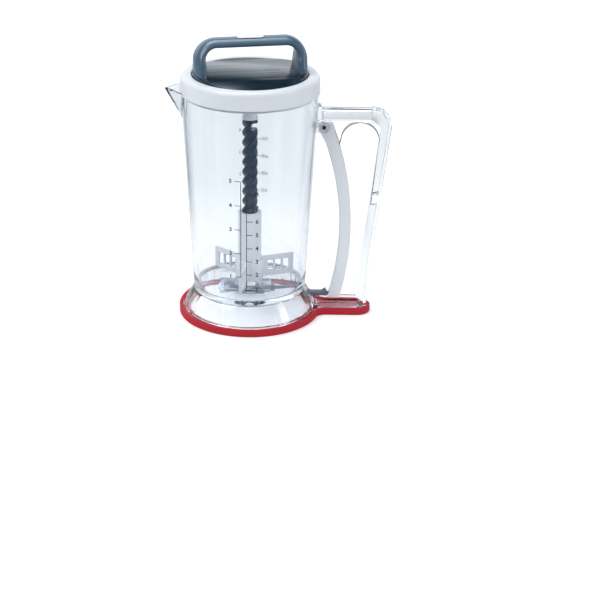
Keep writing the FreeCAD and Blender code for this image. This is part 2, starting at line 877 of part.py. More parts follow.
def make_mixing_hub():
    body = cylinder(hub_r, hub_plate_z, hub_top_z)
    inside = hub_plate_z + hub_plate
    body = body.cut(cylinder(hub_r - hub_wall, inside, hub_top_z + 1))
    return single(body.cut(cylinder(stem_r + stem_clearance, hub_plate_z - 1, inside + 1)))


def make_spiral_nut():
    """The ring in the hub's mouth, with a tooth for each groove of the spiral rod."""
    body = tube(hub_r - hub_wall, hub_nut_r, hub_nut_low(), hub_top_z)
    tooth_z = hub_top_z - hub_nut_height / 2
    pitch = 360.0 / spiral_starts
    turn = 360.0 * (tooth_z - spiral_end_z) / spiral_lead + pitch / 2
    for start in range(spiral_starts):
        tip = polar(tooth_tip_r, turn + start * pitch, tooth_z)
        outward = polar(1, turn + start * pitch)
        root = (hub_r - hub_wall + hub_nut_r) / 2
        body = body.fuse(Part.makeCylinder(tooth_r, root - tooth_tip_r, tip, outward))
    return single(body)


def make_mixing_paddle():
    low = hub_plate_z
    high = low + paddle_height
    body = cylinder(hub_r + sleeve_wall, low, high)
    for number in range(paddle_count):
        blade = block(hub_r, paddle_r, paddle_thickness / 2, low, high)
        window = paddle_r - hub_r - sleeve_wall - 2 * paddle_window_margin
        rail = 1.6
        width = (window - (paddle_slots - 1) * rail) / paddle_slots
        for slot in range(paddle_slots):
            left = hub_r + sleeve_wall + paddle_window_margin + slot * (width + rail)
            blade = blade.cut(block(left, left + width, paddle_thickness,
                                    low + paddle_window_margin, high - paddle_window_margin))
        blade.rotate(Vector(0, 0, 0), UP, number * 360.0 / paddle_count + 20)
        body = body.fuse(blade)
    return single(body.cut(cylinder(hub_r, low - 1, high + 1)))


NODES = {
    "jug": make_jug,
    "jug_floor": make_jug_floor,
    "base_skirt": make_skirt,
    "foot_ring": make_foot_ring,
    "valve_guide": make_valve_guide,
    "valve_seal": make_valve_seal,
    "outlet_nozzle": make_outlet_nozzle,
    "gate_plate": make_gate_plate,
    "valve_rod": make_valve_rod,
    "top_arm": make_top_arm,
    "grip": make_grip,
    "pivot_lugs": make_pivot_lugs,
    "pivot_pin": make_pivot_pin,
    "trigger_lever": make_trigger_lever,
    "leaf_spring": make_leaf_spring,
    "lid": make_lid,
    "lid_seal": make_lid_seal,
    "stem_wiper": make_stem_wiper,
    "rod_collar": make_rod_collar,
    "spiral_rod": make_spiral_rod,
    "plunger_plate": make_plunger_plate,
    "bail": make_bail,
    "badge": make_badge,
    "stem": make_stem,
    "stem_clip": make_stem_clip,
    "mixing_hub": make_mixing_hub,
    "spiral_nut": make_spiral_nut,
    "mixing_paddle": make_mixing_paddle,
}

os.makedirs("parts", exist_ok=True)
for name, make in NODES.items():
    shape = make()
    shape.exportStep("parts/" + name + ".step")
    print(name, "solids", len(shape.Solids), "valid", shape.isValid(), "volume", round(shape.Volume, 1))
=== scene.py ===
import json
import math

import bmesh
import bpy
from mathutils import Matrix, Vector


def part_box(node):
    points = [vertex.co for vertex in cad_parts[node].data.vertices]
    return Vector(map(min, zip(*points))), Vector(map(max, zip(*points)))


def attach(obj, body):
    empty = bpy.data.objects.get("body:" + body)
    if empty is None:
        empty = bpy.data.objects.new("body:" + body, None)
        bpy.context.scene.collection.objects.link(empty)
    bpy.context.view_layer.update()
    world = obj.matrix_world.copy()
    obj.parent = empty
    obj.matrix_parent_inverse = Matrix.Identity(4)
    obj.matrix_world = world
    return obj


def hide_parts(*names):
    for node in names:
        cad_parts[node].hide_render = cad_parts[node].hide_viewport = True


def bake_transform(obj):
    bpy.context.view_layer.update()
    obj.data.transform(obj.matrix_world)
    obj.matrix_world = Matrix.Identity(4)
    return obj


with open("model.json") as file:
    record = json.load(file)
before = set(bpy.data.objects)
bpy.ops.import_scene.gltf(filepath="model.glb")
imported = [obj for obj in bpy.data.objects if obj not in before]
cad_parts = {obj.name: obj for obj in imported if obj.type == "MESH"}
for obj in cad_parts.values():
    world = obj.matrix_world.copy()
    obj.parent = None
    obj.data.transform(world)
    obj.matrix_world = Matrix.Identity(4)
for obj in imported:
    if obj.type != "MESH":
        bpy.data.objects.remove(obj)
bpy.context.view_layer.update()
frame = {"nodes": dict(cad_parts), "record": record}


# Clear jug
# The real jug is one clear moulding with a tapered wall, a raised floor and a pouring
# spout pinched out of the rim. Its outlet is a short hole in the middle of the floor.
MM = 0.001
JUG_FOOT_R = 44.2
JUG_FOOT_Z = 21.5
JUG_RIM_R = 53.1
JUG_RIM_Z = 183.5
JUG_WALL = 2.2
JUG_UNDER_Z = 19.0
JUG_STEP = 2.0
JUG_FLOOR_Z = 22.4
JUG_FLOOR_EDGE_Z = 24.4
JUG_BOSS_R = 8.8
JUG_BOSS_Z = 17.0
JUG_EDGE = 0.3
JUG_FOOT_EDGE = 0.4
JUG_RIM_EDGE = 0.35
JUG_RIM_DROP = 0.08
JUG_RIM_ROUND = 0.5
JUG_WALL_LOW = 2.5
FLOOR_CORNER = ((0.3, 1.2), (1.2, 0.35), (2.6, 0.0))
OUTLET_R = 5.0
OUTLET_LEAD = 0.8
OUTLET_LEAD_DEPTH = 0.6
SPOUT_REACH = 12.3
SPOUT_HALF_WIDTH = 19.0
SPOUT_DEPTH = 25.0
SPOUT_LEVELS = 16
WALL_LEVELS = 14
JUG_SEGMENTS = 240
CLEAR_IOR = 1.47
SHADOW_TINT = (0.88, 0.91, 0.94, 1)
DEEPEST_BEND = 5.5


def new_node(tree, kind, **settings):
    """A node of the given kind with its settings made."""
    node = tree.nodes.new(kind)
    for key, value in settings.items():
        setattr(node, key, value)
    return node


def moulded_skin_group():
    """Fine mould texture: a soft colour drift, a roughness drift and a shallow grain."""
    group = bpy.data.node_groups.new("moulded_skin", "ShaderNodeTree")
    face = group.interface
    for name, kind, value in (("Color", "NodeSocketColor", (0.8, 0.8, 0.8, 1)),
                              ("Roughness", "NodeSocketFloat", 0.35),
                              ("Drift", "NodeSocketFloat", 0.05),
                              ("Grain per m", "NodeSocketFloat", 2500.0),
                              ("Grain depth", "NodeSocketFloat", 0.05)):
        face.new_socket(name, in_out="INPUT", socket_type=kind).default_value = value
    for name, kind in (("Color", "NodeSocketColor"), ("Roughness", "NodeSocketFloat"),
                       ("Normal", "NodeSocketVector")):
        face.new_socket(name, in_out="OUTPUT", socket_type=kind)
    put_in = new_node(group, "NodeGroupInput")
    put_out = new_node(group, "NodeGroupOutput")
    place = new_node(group, "ShaderNodeTexCoord")
    cloud = new_node(group, "ShaderNodeTexNoise")
    cloud.inputs["Scale"].default_value = 38.0
    cloud.inputs["Detail"].default_value = 3.0
    grain = new_node(group, "ShaderNodeTexNoise")
    grain.inputs["Detail"].default_value = 2.0
    centred = new_node(group, "ShaderNodeMath", operation="SUBTRACT")
    centred.inputs[1].default_value = 0.5
    scaled = new_node(group, "ShaderNodeMath", operation="MULTIPLY")
    factor = new_node(group, "ShaderNodeMath", operation="ADD")
    factor.inputs[1].default_value = 1.0
    tint = new_node(group, "ShaderNodeVectorMath", operation="SCALE")
    rough = new_node(group, "ShaderNodeMath", operation="MULTIPLY_ADD")
    bump = new_node(group, "ShaderNodeBump")
    bump.inputs["Distance"].default_value = 0.0001
    link = group.links.new
    link(place.outputs["Object"], cloud.inputs["Vector"])
    link(place.outputs["Object"], grain.inputs["Vector"])
    link(put_in.outputs["Grain per m"], grain.inputs["Scale"])
    link(cloud.outputs["Fac"], centred.inputs[0])
    link(centred.outputs[0], scaled.inputs[0])
    link(put_in.outputs["Drift"], scaled.inputs[1])
    link(scaled.outputs[0], factor.inputs[0])
    link(put_in.outputs["Color"], tint.inputs[0])
    link(factor.outputs[0], tint.inputs["Scale"])
    link(centred.outputs[0], rough.inputs[0])
    link(put_in.outputs["Drift"], rough.inputs[1])
    link(put_in.outputs["Roughness"], rough.inputs[2])
    link(grain.outputs["Fac"], bump.inputs["Height"])
    link(put_in.outputs["Grain depth"], bump.inputs["Strength"])
    link(tint.outputs[0], put_out.inputs["Color"])
    link(rough.outputs[0], put_out.inputs["Roughness"])
    link(bump.outputs["Normal"], put_out.inputs["Normal"])
    return group


moulded_skin = moulded_skin_group()


def moulded_material(name, color, roughness, drift, grain, depth, **sockets):
    """A Principled material whose colour, roughness and normal come from the mould texture."""
    material = bpy.data.materials.new(name)
    material.use_nodes = True
    tree = material.node_tree
    shader = tree.nodes["Principled BSDF"]
    skin = new_node(tree, "ShaderNodeGroup", node_tree=moulded_skin)
    skin.inputs["Color"].default_value = (*color, 1)
    skin.inputs["Roughness"].default_value = roughness
    skin.inputs["Drift"].default_value = drift
    skin.inputs["Grain per m"].default_value = grain
    skin.inputs["Grain depth"].default_value = depth
    tree.links.new(skin.outputs["Color"], shader.inputs["Base Color"])
    tree.links.new(skin.outputs["Roughness"], shader.inputs["Roughness"])
    tree.links.new(skin.outputs["Normal"], shader.inputs["Normal"])
    for socket, value in sockets.items():
        shader.inputs[socket.replace("_", " ")].default_value = value
    return material


def clear_material(name, color, roughness):
    """Clear plastic that bends light. Lamplight, and light bent very often, goes straight on."""
    material = moulded_material(name, color, roughness, 0.03, 700.0, 0.02,
                                Transmission_Weight=1.0, IOR=CLEAR_IOR)
    tree = material.node_tree
    shader = tree.nodes["Principled BSDF"]
    through = new_node(tree, "ShaderNodeBsdfTransparent")
    through.inputs["Color"].default_value = SHADOW_TINT
    path = new_node(tree, "ShaderNodeLightPath")
    deep = new_node(tree, "ShaderNodeMath", operation="GREATER_THAN")
    deep.inputs[1].default_value = DEEPEST_BEND
    straight = new_node(tree, "ShaderNodeMath", operation="MAXIMUM")
    mix = new_node(tree, "ShaderNodeMixShader")
    link = tree.links.new
    link(path.outputs["Ray Depth"], deep.inputs[0])
    link(path.outputs["Is Shadow Ray"], straight.inputs[0])
    link(deep.outputs[0], straight.inputs[1])
    link(straight.outputs[0], mix.inputs["Fac"])
    link(shader.outputs[0], mix.inputs[1])
    link(through.outputs[0], mix.inputs[2])
    link(mix.outputs[0], tree.nodes["Material Output"].inputs["Surface"])
    return material


clear_plastic = clear_material("clear_plastic", (0.94, 0.957, 0.977), 0.02)


def piece_from_grid(name, rows, closed_rows=True):
    """A mesh from rows of points, each row a closed ring, joined in order."""
    mesh = bpy.data.meshes.new(name)
    points = [point for row in rows for point in row]
    across = len(rows[0])
    faces = []
    last = len(rows) if closed_rows else len(rows) - 1
    for i in range(last):
        low = i * across
        high = ((i + 1) % len(rows)) * across
        for j in range(across):
            k = (j + 1) % across
            faces.append((low + j, low + k, high + k, high + j))
    mesh.from_pydata([Vector(point) * MM for point in points], [], faces)
    bm = bmesh.new()
    bm.from_mesh(mesh)
    bmesh.ops.recalc_face_normals(bm, faces=bm.faces)
    bm.to_mesh(mesh)
    bm.free()
    piece = bpy.data.objects.new(name, mesh)
    bpy.context.scene.collection.objects.link(piece)
    return piece


def capped(piece, across):
    """Close the first and the last ring of a swept piece."""
    bm = bmesh.new()
    bm.from_mesh(piece.data)
    bm.verts.ensure_lookup_table()
    count = len(bm.verts)
    bm.faces.new([bm.verts[i] for i in range(across)])
    bm.faces.new([bm.verts[i] for i in range(count - across, count)])
    bmesh.ops.recalc_face_normals(bm, faces=bm.faces)
    bm.to_mesh(piece.data)
    bm.free()


def shaded(piece, sharp_degrees):
    """Smooth shading, with an edge kept crisp where it turns by more than the angle."""
    piece.data.shade_smooth()
    piece.data.set_sharp_from_angle(angle=math.radians(sharp_degrees))


def fitted(piece, body, slot, material, *stands_for):
    """Give a piece its material and its body, and hide the nodes that it stands for. The slot is not
    used.
    """
    piece.data.materials.clear()
    piece.data.materials.append(material)
    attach(piece, body)
    if stands_for:
        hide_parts(*stands_for)


def wall_r(z):
    """Outer radius of the jug's wall at a height."""
    return JUG_FOOT_R + (z - JUG_FOOT_Z) / (JUG_RIM_Z - JUG_FOOT_Z) * (JUG_RIM_R - JUG_FOOT_R)


def spout_r(radius, z, turn, inset):
    """Radius of the wall in the direction turn, measured from the spout, with the spout's beak."""
    rise = (z - (JUG_RIM_Z - SPOUT_DEPTH + inset)) / (SPOUT_DEPTH - inset)
    if rise <= 0.001:
        return radius
    width = (SPOUT_HALF_WIDTH - inset) * rise
    tip = radius + (SPOUT_REACH - 0.5 * inset) * rise
    if abs(turn) >= math.asin(width / radius):
        return radius
    root = math.sqrt(radius ** 2 - width ** 2)
    return max(radius, tip * width / (width * math.cos(turn) + (tip - root) * math.sin(abs(turn))))


def jug_ring(radius, z, inset=0):
    """A level ring of the jug, with the spout's beak where the ring is high enough."""
    ring = []
    for step in range(JUG_SEGMENTS):
        turn = 2 * math.pi * step / JUG_SEGMENTS - math.pi
        r = spout_r(radius, z, turn, inset) if radius > JUG_FOOT_R - JUG_WALL else radius
        ring.append((-r * math.cos(turn), r * math.sin(turn), z))
    return ring


def wall_heights(low, high):
    """Levels of the wall's rings, closer together along the spout."""
    knee = JUG_RIM_Z - SPOUT_DEPTH
    heights = [low + (knee - low) * i / WALL_LEVELS for i in range(WALL_LEVELS)]
    return heights + [knee + (high - knee) * i / SPOUT_LEVELS for i in range(SPOUT_LEVELS + 1)]


foot_step_r = JUG_FOOT_R - JUG_STEP
jug_rows = [
    jug_ring(OUTLET_R, JUG_BOSS_Z + JUG_EDGE),
    jug_ring(OUTLET_R + JUG_EDGE, JUG_BOSS_Z),
    jug_ring(JUG_BOSS_R - JUG_EDGE, JUG_BOSS_Z),
    jug_ring(JUG_BOSS_R, JUG_BOSS_Z + JUG_EDGE),
    jug_ring(JUG_BOSS_R, JUG_UNDER_Z),
    jug_ring(foot_step_r - JUG_FOOT_EDGE, JUG_UNDER_Z),
    jug_ring(foot_step_r, JUG_UNDER_Z + JUG_FOOT_EDGE),
    jug_ring(foot_step_r, JUG_FOOT_Z),
    jug_ring(JUG_FOOT_R - JUG_FOOT_EDGE, JUG_FOOT_Z),
]
outer_heights = wall_heights(JUG_FOOT_Z + JUG_FOOT_EDGE, JUG_RIM_Z - JUG_RIM_ROUND)
jug_rows += [jug_ring(wall_r(z), z) for z in outer_heights]
rim_r = wall_r(JUG_RIM_Z)
jug_rows += [
    jug_ring(rim_r - JUG_RIM_EDGE, JUG_RIM_Z - JUG_RIM_DROP, JUG_RIM_EDGE),
    jug_ring(rim_r - JUG_WALL / 2, JUG_RIM_Z, JUG_WALL / 2),
    jug_ring(rim_r - JUG_WALL + JUG_RIM_EDGE, JUG_RIM_Z - JUG_RIM_DROP, JUG_WALL - JUG_RIM_EDGE),
]
inner_heights = wall_heights(JUG_FLOOR_EDGE_Z + JUG_WALL_LOW, JUG_RIM_Z - JUG_RIM_ROUND)
jug_rows += [jug_ring(wall_r(z) - JUG_WALL, z, JUG_WALL) for z in reversed(inner_heights)]
floor_edge_r = wall_r(JUG_FLOOR_EDGE_Z) - JUG_WALL
jug_rows += [jug_ring(floor_edge_r - inwards, JUG_FLOOR_EDGE_Z + up) for inwards, up in FLOOR_CORNER]
jug_rows += [
    jug_ring(OUTLET_R + OUTLET_LEAD, JUG_FLOOR_Z),
    jug_ring(OUTLET_R, JUG_FLOOR_Z - OUTLET_LEAD_DEPTH),
]
jug = piece_from_grid("jug_moulding", jug_rows)
shaded(jug, 32)
fitted(jug, "jug", "clear_plastic", clear_plastic, "jug", "jug_floor")


# Clear skirt, handle and valve housing
# The flared skirt carries the jug over the pan. The handle is a channelled arm and grip
# between the rim and the skirt's trough. All are clear mouldings with eased edges.
AIR_GAP = 0.04
WELD_DISTANCE = 2e-6

nodes = frame["nodes"]
bodies = frame["record"]["behaviour"]["bodies"]
body_of_node = {node: body for body, members in bodies.items() for node in members}
slot_of_node = {part["node"]: part["material_slot"] for part in frame["record"]["subparts"]}


def finished_copy(name, edge, material, sharp_degrees=30, flat_degrees=0.4, lift=0.0):
    """A copy of a construction piece with its flats joined and its edges eased."""
    mesh = nodes[name].data.copy()
    mesh.transform(Matrix.Translation((0, 0, lift * MM)))
    bm = bmesh.new()
    bm.from_mesh(mesh)
    bmesh.ops.remove_doubles(bm, verts=bm.verts, dist=WELD_DISTANCE)
    bmesh.ops.dissolve_limit(bm, angle_limit=math.radians(flat_degrees), verts=bm.verts,
                             edges=bm.edges)
    bm.to_mesh(mesh)
    bm.free()
    piece = bpy.data.objects.new(name + "_moulding", mesh)
    bpy.context.scene.collection.objects.link(piece)
    mesh.shade_smooth()
    bevel = piece.modifiers.new("eased_edges", "BEVEL")
    bevel.width = edge * MM
    bevel.segments = 2
    bevel.limit_method = "ANGLE"
    bevel.angle_limit = math.radians(sharp_degrees)
    bevel.harden_normals = True
    bevel.use_clamp_overlap = True
    fitted(piece, body_of_node[name], slot_of_node[name], material, name)


# The skirt's and the handle's plastic are lighter copies of the jug's clear plastic. This is painted
# light that lifts the shade seen through the skirt and on the lever behind the pivot lugs.
skirt_plastic_painted_light = clear_material("skirt_plastic_painted_light", (0.975, 0.982, 0.992), 0.03)
handle_plastic_painted_light = clear_material("handle_plastic_painted_light", (0.990, 0.993, 0.998), 0.03)
finished_copy("base_skirt", 0.3, skirt_plastic_painted_light, lift=AIR_GAP)
finished_copy("top_arm", 0.4, handle_plastic_painted_light)
finished_copy("grip", 0.4, handle_plastic_painted_light, lift=AIR_GAP)
finished_copy("pivot_lugs", 0.3, handle_plastic_painted_light)
finished_copy("valve_guide", 0.3, skirt_plastic_painted_light)
finished_copy("outlet_nozzle", 0.2, skirt_plastic_painted_light)


# Red foot ring
# A soft silicone gasket stretched over the foot of the skirt and of the handle's trough.
# It is dull and even, with a fine matte skin.
red_silicone = moulded_material("red_silicone", (0.52, 0.026, 0.040), 0.6, 0.10, 3500.0, 0.10,
                                Specular_IOR_Level=0.15)
finished_copy("foot_ring", 0.8, red_silicone)


# Seals
# Pale moulded silicone rings. One presses on the valve's gate, one sits in the lid's
# groove against the jug's inner wall, and one grips the plunger's stem.
seal_silicone = moulded_material("seal_silicone", (0.72, 0.74, 0.76), 0.55, 0.06, 3000.0, 0.08)
for seal in ("valve_seal", "lid_seal", "stem_wiper"):
    finished_copy(seal, 0.15, seal_silicone)


# Valve slide
# A dark slate plastic rod and gate plate that slide under the floor, with a small fin
# by the lever. The plate's hole stands under the outlet while the trigger is squeezed.
slate_plastic = moulded_material("slate_plastic", (0.13, 0.165, 0.21), 0.36, 0.10, 2600.0, 0.06,
                                 Specular_IOR_Level=0.6)
finished_copy("gate_plate", 0.25, slate_plastic)
finished_copy("valve_rod", 0.2, slate_plastic)


# Trigger lever and its pin
# The lever is a white channel moulding, bowed to the fingers. It turns on a dark pin
# held in two clear lugs under the handle's arm.
# The lever's plastic is a lighter copy of the lid's white plastic: painted light on its front face.
lever_plastic_painted_light = moulded_material("lever_plastic_painted_light", (0.84, 0.86, 0.90), 0.34, 0.05, 2200.0, 0.06)
dark_pin = moulded_material("dark_pin", (0.05, 0.052, 0.06), 0.3, 0.15, 5000.0, 0.1, Metallic=0.8)
finished_copy("trigger_lever", 0.5, lever_plastic_painted_light)
finished_copy("pivot_pin", 0.3, dark_pin)


# Leaf spring
# A thin strip of dark rolled steel. It arches from the lever's channel over to the grip,
# where it lies along the inner side, and pushes the lever back towards the jug.
SPRING_THICKNESS = 0.5
SPRING_WIDTH = 5.6
SPRING_TIP = (67.4, 134.0)
SPRING_RISE = (70.3, 145.0)
SPRING_LEFT_X = 75.3
SPRING_LEFT_DROP = 3.6
SPRING_CROWN_X = 85.0
SPRING_RIGHT_X = 96.1
SPRING_RIGHT_DROP = 5.2
SPRING_FALL_Z = 143.0
SPRING_END_X = 94.66
SPRING_RISE_STEPS = 6
SPRING_ARCH_STEPS = 18
SPRING_FALL_STEPS = 12


def arc_points(a, middle, b, steps):
    """Points along the circle arc from a through middle to b, without the last one."""
    (ax, az), (mx, mz), (bx, bz) = a, middle, b
    d = 2 * (ax * (mz - bz) + mx * (bz - az) + bx * (az - mz))
    sa = ax * ax + az * az
    sm = mx * mx + mz * mz
    sb = bx * bx + bz * bz
    cx = (sa * (mz - bz) + sm * (bz - az) + sb * (az - mz)) / d
    cz = (sa * (bx - mx) + sm * (ax - bx) + sb * (mx - ax)) / d
    radius = math.hypot(ax - cx, az - cz)
    first = math.atan2(az - cz, ax - cx)
    sweep = (math.atan2(bz - cz, bx - cx) - first) % (2 * math.pi)
    if (math.atan2(mz - cz, mx - cx) - first) % (2 * math.pi) > sweep:
        sweep -= 2 * math.pi
    angles = [first + sweep * i / steps for i in range(steps)]
    return [(cx + radius * math.cos(t), cz + radius * math.sin(t)) for t in angles]


def line_points(a, b, steps):
    """Points along the straight line from a to b, without the last one."""
    return [(a[0] + (b[0] - a[0]) * i / steps, a[1] + (b[1] - a[1]) * i / steps)
            for i in range(steps)]


spring_low, spring_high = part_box("leaf_spring")
spring_crown = (SPRING_CROWN_X, spring_high.z / MM - SPRING_THICKNESS / 2)
spring_fall = (spring_high.x / MM - SPRING_THICKNESS, SPRING_FALL_Z)
spring_end = (SPRING_END_X, spring_low.z / MM)
left_of_crown = (SPRING_LEFT_X, spring_crown[1] - SPRING_LEFT_DROP)
right_of_crown = (SPRING_RIGHT_X, spring_crown[1] - SPRING_RIGHT_DROP)
spring_line = line_points(SPRING_TIP, SPRING_RISE, SPRING_RISE_STEPS)
spring_line += arc_points(SPRING_RISE, left_of_crown, spring_crown, SPRING_ARCH_STEPS)
spring_line += arc_points(spring_crown, right_of_crown, spring_fall, SPRING_ARCH_STEPS)
spring_line += line_points(spring_fall, spring_end, SPRING_FALL_STEPS)
spring_line += [spring_end]
spring_rows = []
for index, (x, z) in enumerate(spring_line):
    before = Vector(spring_line[max(index - 1, 0)])
    after = Vector(spring_line[min(index + 1, len(spring_line) - 1)])
    along = (after - before).normalized()
    nx, nz = -along.y * SPRING_THICKNESS / 2, along.x * SPRING_THICKNESS / 2
    half = SPRING_WIDTH / 2
    spring_rows.append([(x - nx, -half, z - nz), (x - nx, half, z - nz),
                        (x + nx, half, z + nz), (x + nx, -half, z + nz)])
spring = piece_from_grid("leaf_spring_strip", spring_rows, closed_rows=False)
capped(spring, len(spring_rows[0]))
shaded(spring, 40)
spring_steel = moulded_material("spring_steel", (0.30, 0.30, 0.31), 0.28, 0.12, 900.0, 0.08,
                                Metallic=1.0)
spring.data.materials.append(spring_steel)
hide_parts("leaf_spring")
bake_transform(spring)


# Lid
# A satin white moulding with a rounded shoulder, a shallow recess for the plunger plate,
# a plug with its seal inside the rim, and a socket that holds the spiral rod's collar.
LID_R = 53.85
LID_SEAT_Z = 183.6
LID_TOP_Z = 195.6
LID_ROUND = 4.2
LID_LEAN = 0.7
RECESS_R = 44.8
RECESS_Z = 193.2
LID_UNDER_Z = 190.8
LID_ROUND_STEPS = 6
PLUG_R = 49.9
PLUG_INNER_R = 47.9
PLUG_Z = 179.3
GROOVE_LOW_Z = 180.3
GROOVE_HIGH_Z = 182.3
GROOVE_R = 49.1
SKIRT_Z = 181.9
SKIRT_INNER_R = 53.25
SPOUT_GAP_HALF = 20.0
SPOUT_GAP_STEPS = 16
CUT_INWARDS = 0.05
CUT_OUTWARDS = 2.0
CUT_DOWNWARDS = 1.0
CUT_UPWARDS = 0.02
SOCKET_R = 7.2
SOCKET_Z = 176.0
COLLAR_R = 5.0
STEM_BORE_R = 2.06


def rounded_profile(corners, steps=4):
    """A closed outline of (r, z, rounding) corners with each corner turned on an arc."""
    profile = []
    for index, (r, z, rounding) in enumerate(corners):
        here = Vector((r, z))
        if rounding == 0:
            profile.append((r, z))
            continue
        back = Vector(corners[index - 1][:2]) - here
        ahead = Vector(corners[(index + 1) % len(corners)][:2]) - here
        start = here + back.normalized() * rounding
        stop = here + ahead.normalized() * rounding
        for step in range(steps + 1):
            t = step / steps
            point = start * (1 - t) ** 2 + here * 2 * t * (1 - t) + stop * t ** 2
            profile.append((point.x, point.y))
    return profile


def turned_piece(name, corners, segments=192, steps=4):
    """A piece of revolution about the jug's axis."""
    rows = []
    for r, z in rounded_profile(corners, steps):
        angles = [2 * math.pi * i / segments for i in range(segments)]
        rows.append([(r * math.cos(t), r * math.sin(t), z) for t in angles])
    return piece_from_grid(name, rows)


def evaluated_mesh(piece):
    """The mesh of an object with its modifiers applied."""
    graph = bpy.context.evaluated_depsgraph_get()
    graph.update()
    return bpy.data.meshes.new_from_object(piece.evaluated_get(graph))


def carved(piece, cutter):
    """Cut one closed mesh out of another, and drop the cutter."""
    modifier = piece.modifiers.new("cut", "BOOLEAN")
    modifier.operation = "DIFFERENCE"
    modifier.solver = "EXACT"
    modifier.object = cutter
    mesh = evaluated_mesh(piece)
    piece.modifiers.clear()
    piece.data = mesh
    bpy.data.objects.remove(cutter)


lid_corners = [
    (STEM_BORE_R, LID_UNDER_Z, 0.2),
    (STEM_BORE_R, RECESS_Z, 0.3),
    (RECESS_R, RECESS_Z, 0.5),
    (RECESS_R, LID_TOP_Z, 0.7),
    (LID_R - LID_LEAN, LID_TOP_Z, LID_ROUND),
    (LID_R, SKIRT_Z, 0.25),
    (SKIRT_INNER_R, SKIRT_Z, 0.15),
    (SKIRT_INNER_R, LID_SEAT_Z, 0),
    (PLUG_R, LID_SEAT_Z, 0),
    (PLUG_R, GROOVE_HIGH_Z, 0),
    (GROOVE_R, GROOVE_HIGH_Z, 0),
    (GROOVE_R, GROOVE_LOW_Z, 0),
    (PLUG_R, GROOVE_LOW_Z, 0),
    (PLUG_R, PLUG_Z, 0.4),
    (PLUG_INNER_R, PLUG_Z, 0.4),
    (PLUG_INNER_R, LID_UNDER_Z, 0.8),
    (SOCKET_R, LID_UNDER_Z, 0.8),
    (SOCKET_R, SOCKET_Z, 0.4),
    (COLLAR_R, SOCKET_Z, 0.1),
    (COLLAR_R, LID_UNDER_Z, 0.1),
]
lid = turned_piece("lid_moulding", lid_corners, steps=LID_ROUND_STEPS)
gap_inner_r = SKIRT_INNER_R - CUT_INWARDS
gap_outer_r = LID_R + CUT_OUTWARDS
gap_turn = math.asin(SPOUT_GAP_HALF / LID_R)
gap_angles = [math.pi + gap_turn * (2 * step / SPOUT_GAP_STEPS - 1)
              for step in range(SPOUT_GAP_STEPS + 1)]
gap_outline = [(gap_inner_r * math.cos(t), gap_inner_r * math.sin(t)) for t in gap_angles]
gap_outline += [(gap_outer_r * math.cos(t), gap_outer_r * math.sin(t)) for t in reversed(gap_angles)]
gap_heights = (SKIRT_Z - CUT_DOWNWARDS, LID_SEAT_Z + CUT_UPWARDS)
gap_rows = [[(x, y, z) for x, y in gap_outline] for z in gap_heights]
spout_gap = piece_from_grid("spout_gap", gap_rows, closed_rows=False)
capped(spout_gap, len(gap_outline))
carved(lid, spout_gap)
shaded(lid, 35)
white_plastic = moulded_material("white_plastic", (0.77, 0.80, 0.84), 0.33, 0.05, 2400.0, 0.06)
fitted(lid, "lid", "white_plastic", white_plastic, "lid")


# Collar of the spiral rod
# A white tube pressed into the lid's socket and flared at its mouth, where the spiral
# rod's neck twists in and locks.
COLLAR_MOUTH_R = 6.4
COLLAR_LOW_Z = 160.0
COLLAR_HIGH_Z = 188.2
NECK_R = 3.6
NECK_HIGH_Z = 172.0
ROD_BORE_R = 2.3
collar_corners = [
    (NECK_R, COLLAR_LOW_Z, 0.2),
    (COLLAR_MOUTH_R, COLLAR_LOW_Z, 0.3),
    (COLLAR_MOUTH_R, COLLAR_LOW_Z + 0.8, 0.3),
    (COLLAR_R, COLLAR_LOW_Z + 5.0, 1.0),
    (COLLAR_R, COLLAR_HIGH_Z, 0.2),
    (ROD_BORE_R, COLLAR_HIGH_Z, 0),
    (ROD_BORE_R, NECK_HIGH_Z, 0),
    (NECK_R, NECK_HIGH_Z, 0),
]
collar = turned_piece("collar_moulding", collar_corners, segments=96)
shaded(collar, 35)
fitted(collar, "lid", "white_plastic", white_plastic, "rod_collar")


# Spiral rod
# A hollow dark slate rod with four steep right-handed ridges, along which the mixing
# hub spins as it rises. A notch near its top locks it in the collar.
SPIRAL_R = 6.0
SPIRAL_ROOT_R = 4.3
SPIRAL_LOW_Z = 76.5
SPIRAL_HIGH_Z = 160.0
SPIRAL_LEAD = 32.0
SPIRAL_STARTS = 4
SPIRAL_TIP_ANGLE = 5.0
SPIRAL_ROOT_ANGLE = 12.0
SPIRAL_END_CUT = 0.3
SPIRAL_END_SCALE = 0.96
NOTCH_LOW_Z = 151.6
NOTCH_HIGH_Z = 156.6
NOTCH_X = 1.3
NOTCH_REACH = 12.0
NOTCH_HALF = 8.0
SPIRAL_STEP = 0.7
SPIRAL_SIDES = 96


def ridge_r(degrees):
    """Radius of the ridged section, from the middle of a ridge."""
    pitch = 360.0 / SPIRAL_STARTS
    off = abs((degrees + pitch / 2) % pitch - pitch / 2)
    share = (off - SPIRAL_TIP_ANGLE) / (pitch / 2 - SPIRAL_TIP_ANGLE - SPIRAL_ROOT_ANGLE)
    share = min(max(share, 0.0), 1.0)
    ease = share * share * (3 - 2 * share)
    return SPIRAL_R + (SPIRAL_ROOT_R - SPIRAL_R) * ease


def spiral_ring(z, scale=1.0):
    """A level ring of the ridged section, turned along the lead."""
    ring = []
    for side in range(SPIRAL_SIDES):
        degrees = 360.0 * side / SPIRAL_SIDES
        t = math.radians(degrees)
        r = ridge_r(degrees - 360.0 * (z - SPIRAL_LOW_Z) / SPIRAL_LEAD) * scale
        ring.append((r * math.cos(t), r * math.sin(t), z))
    return ring


def plain_ring(radius, z):
    """A level round ring with as many points as a ridged one."""
    angles = [2 * math.pi * side / SPIRAL_SIDES for side in range(SPIRAL_SIDES)]
    return [(radius * math.cos(t), radius * math.sin(t), z) for t in angles]


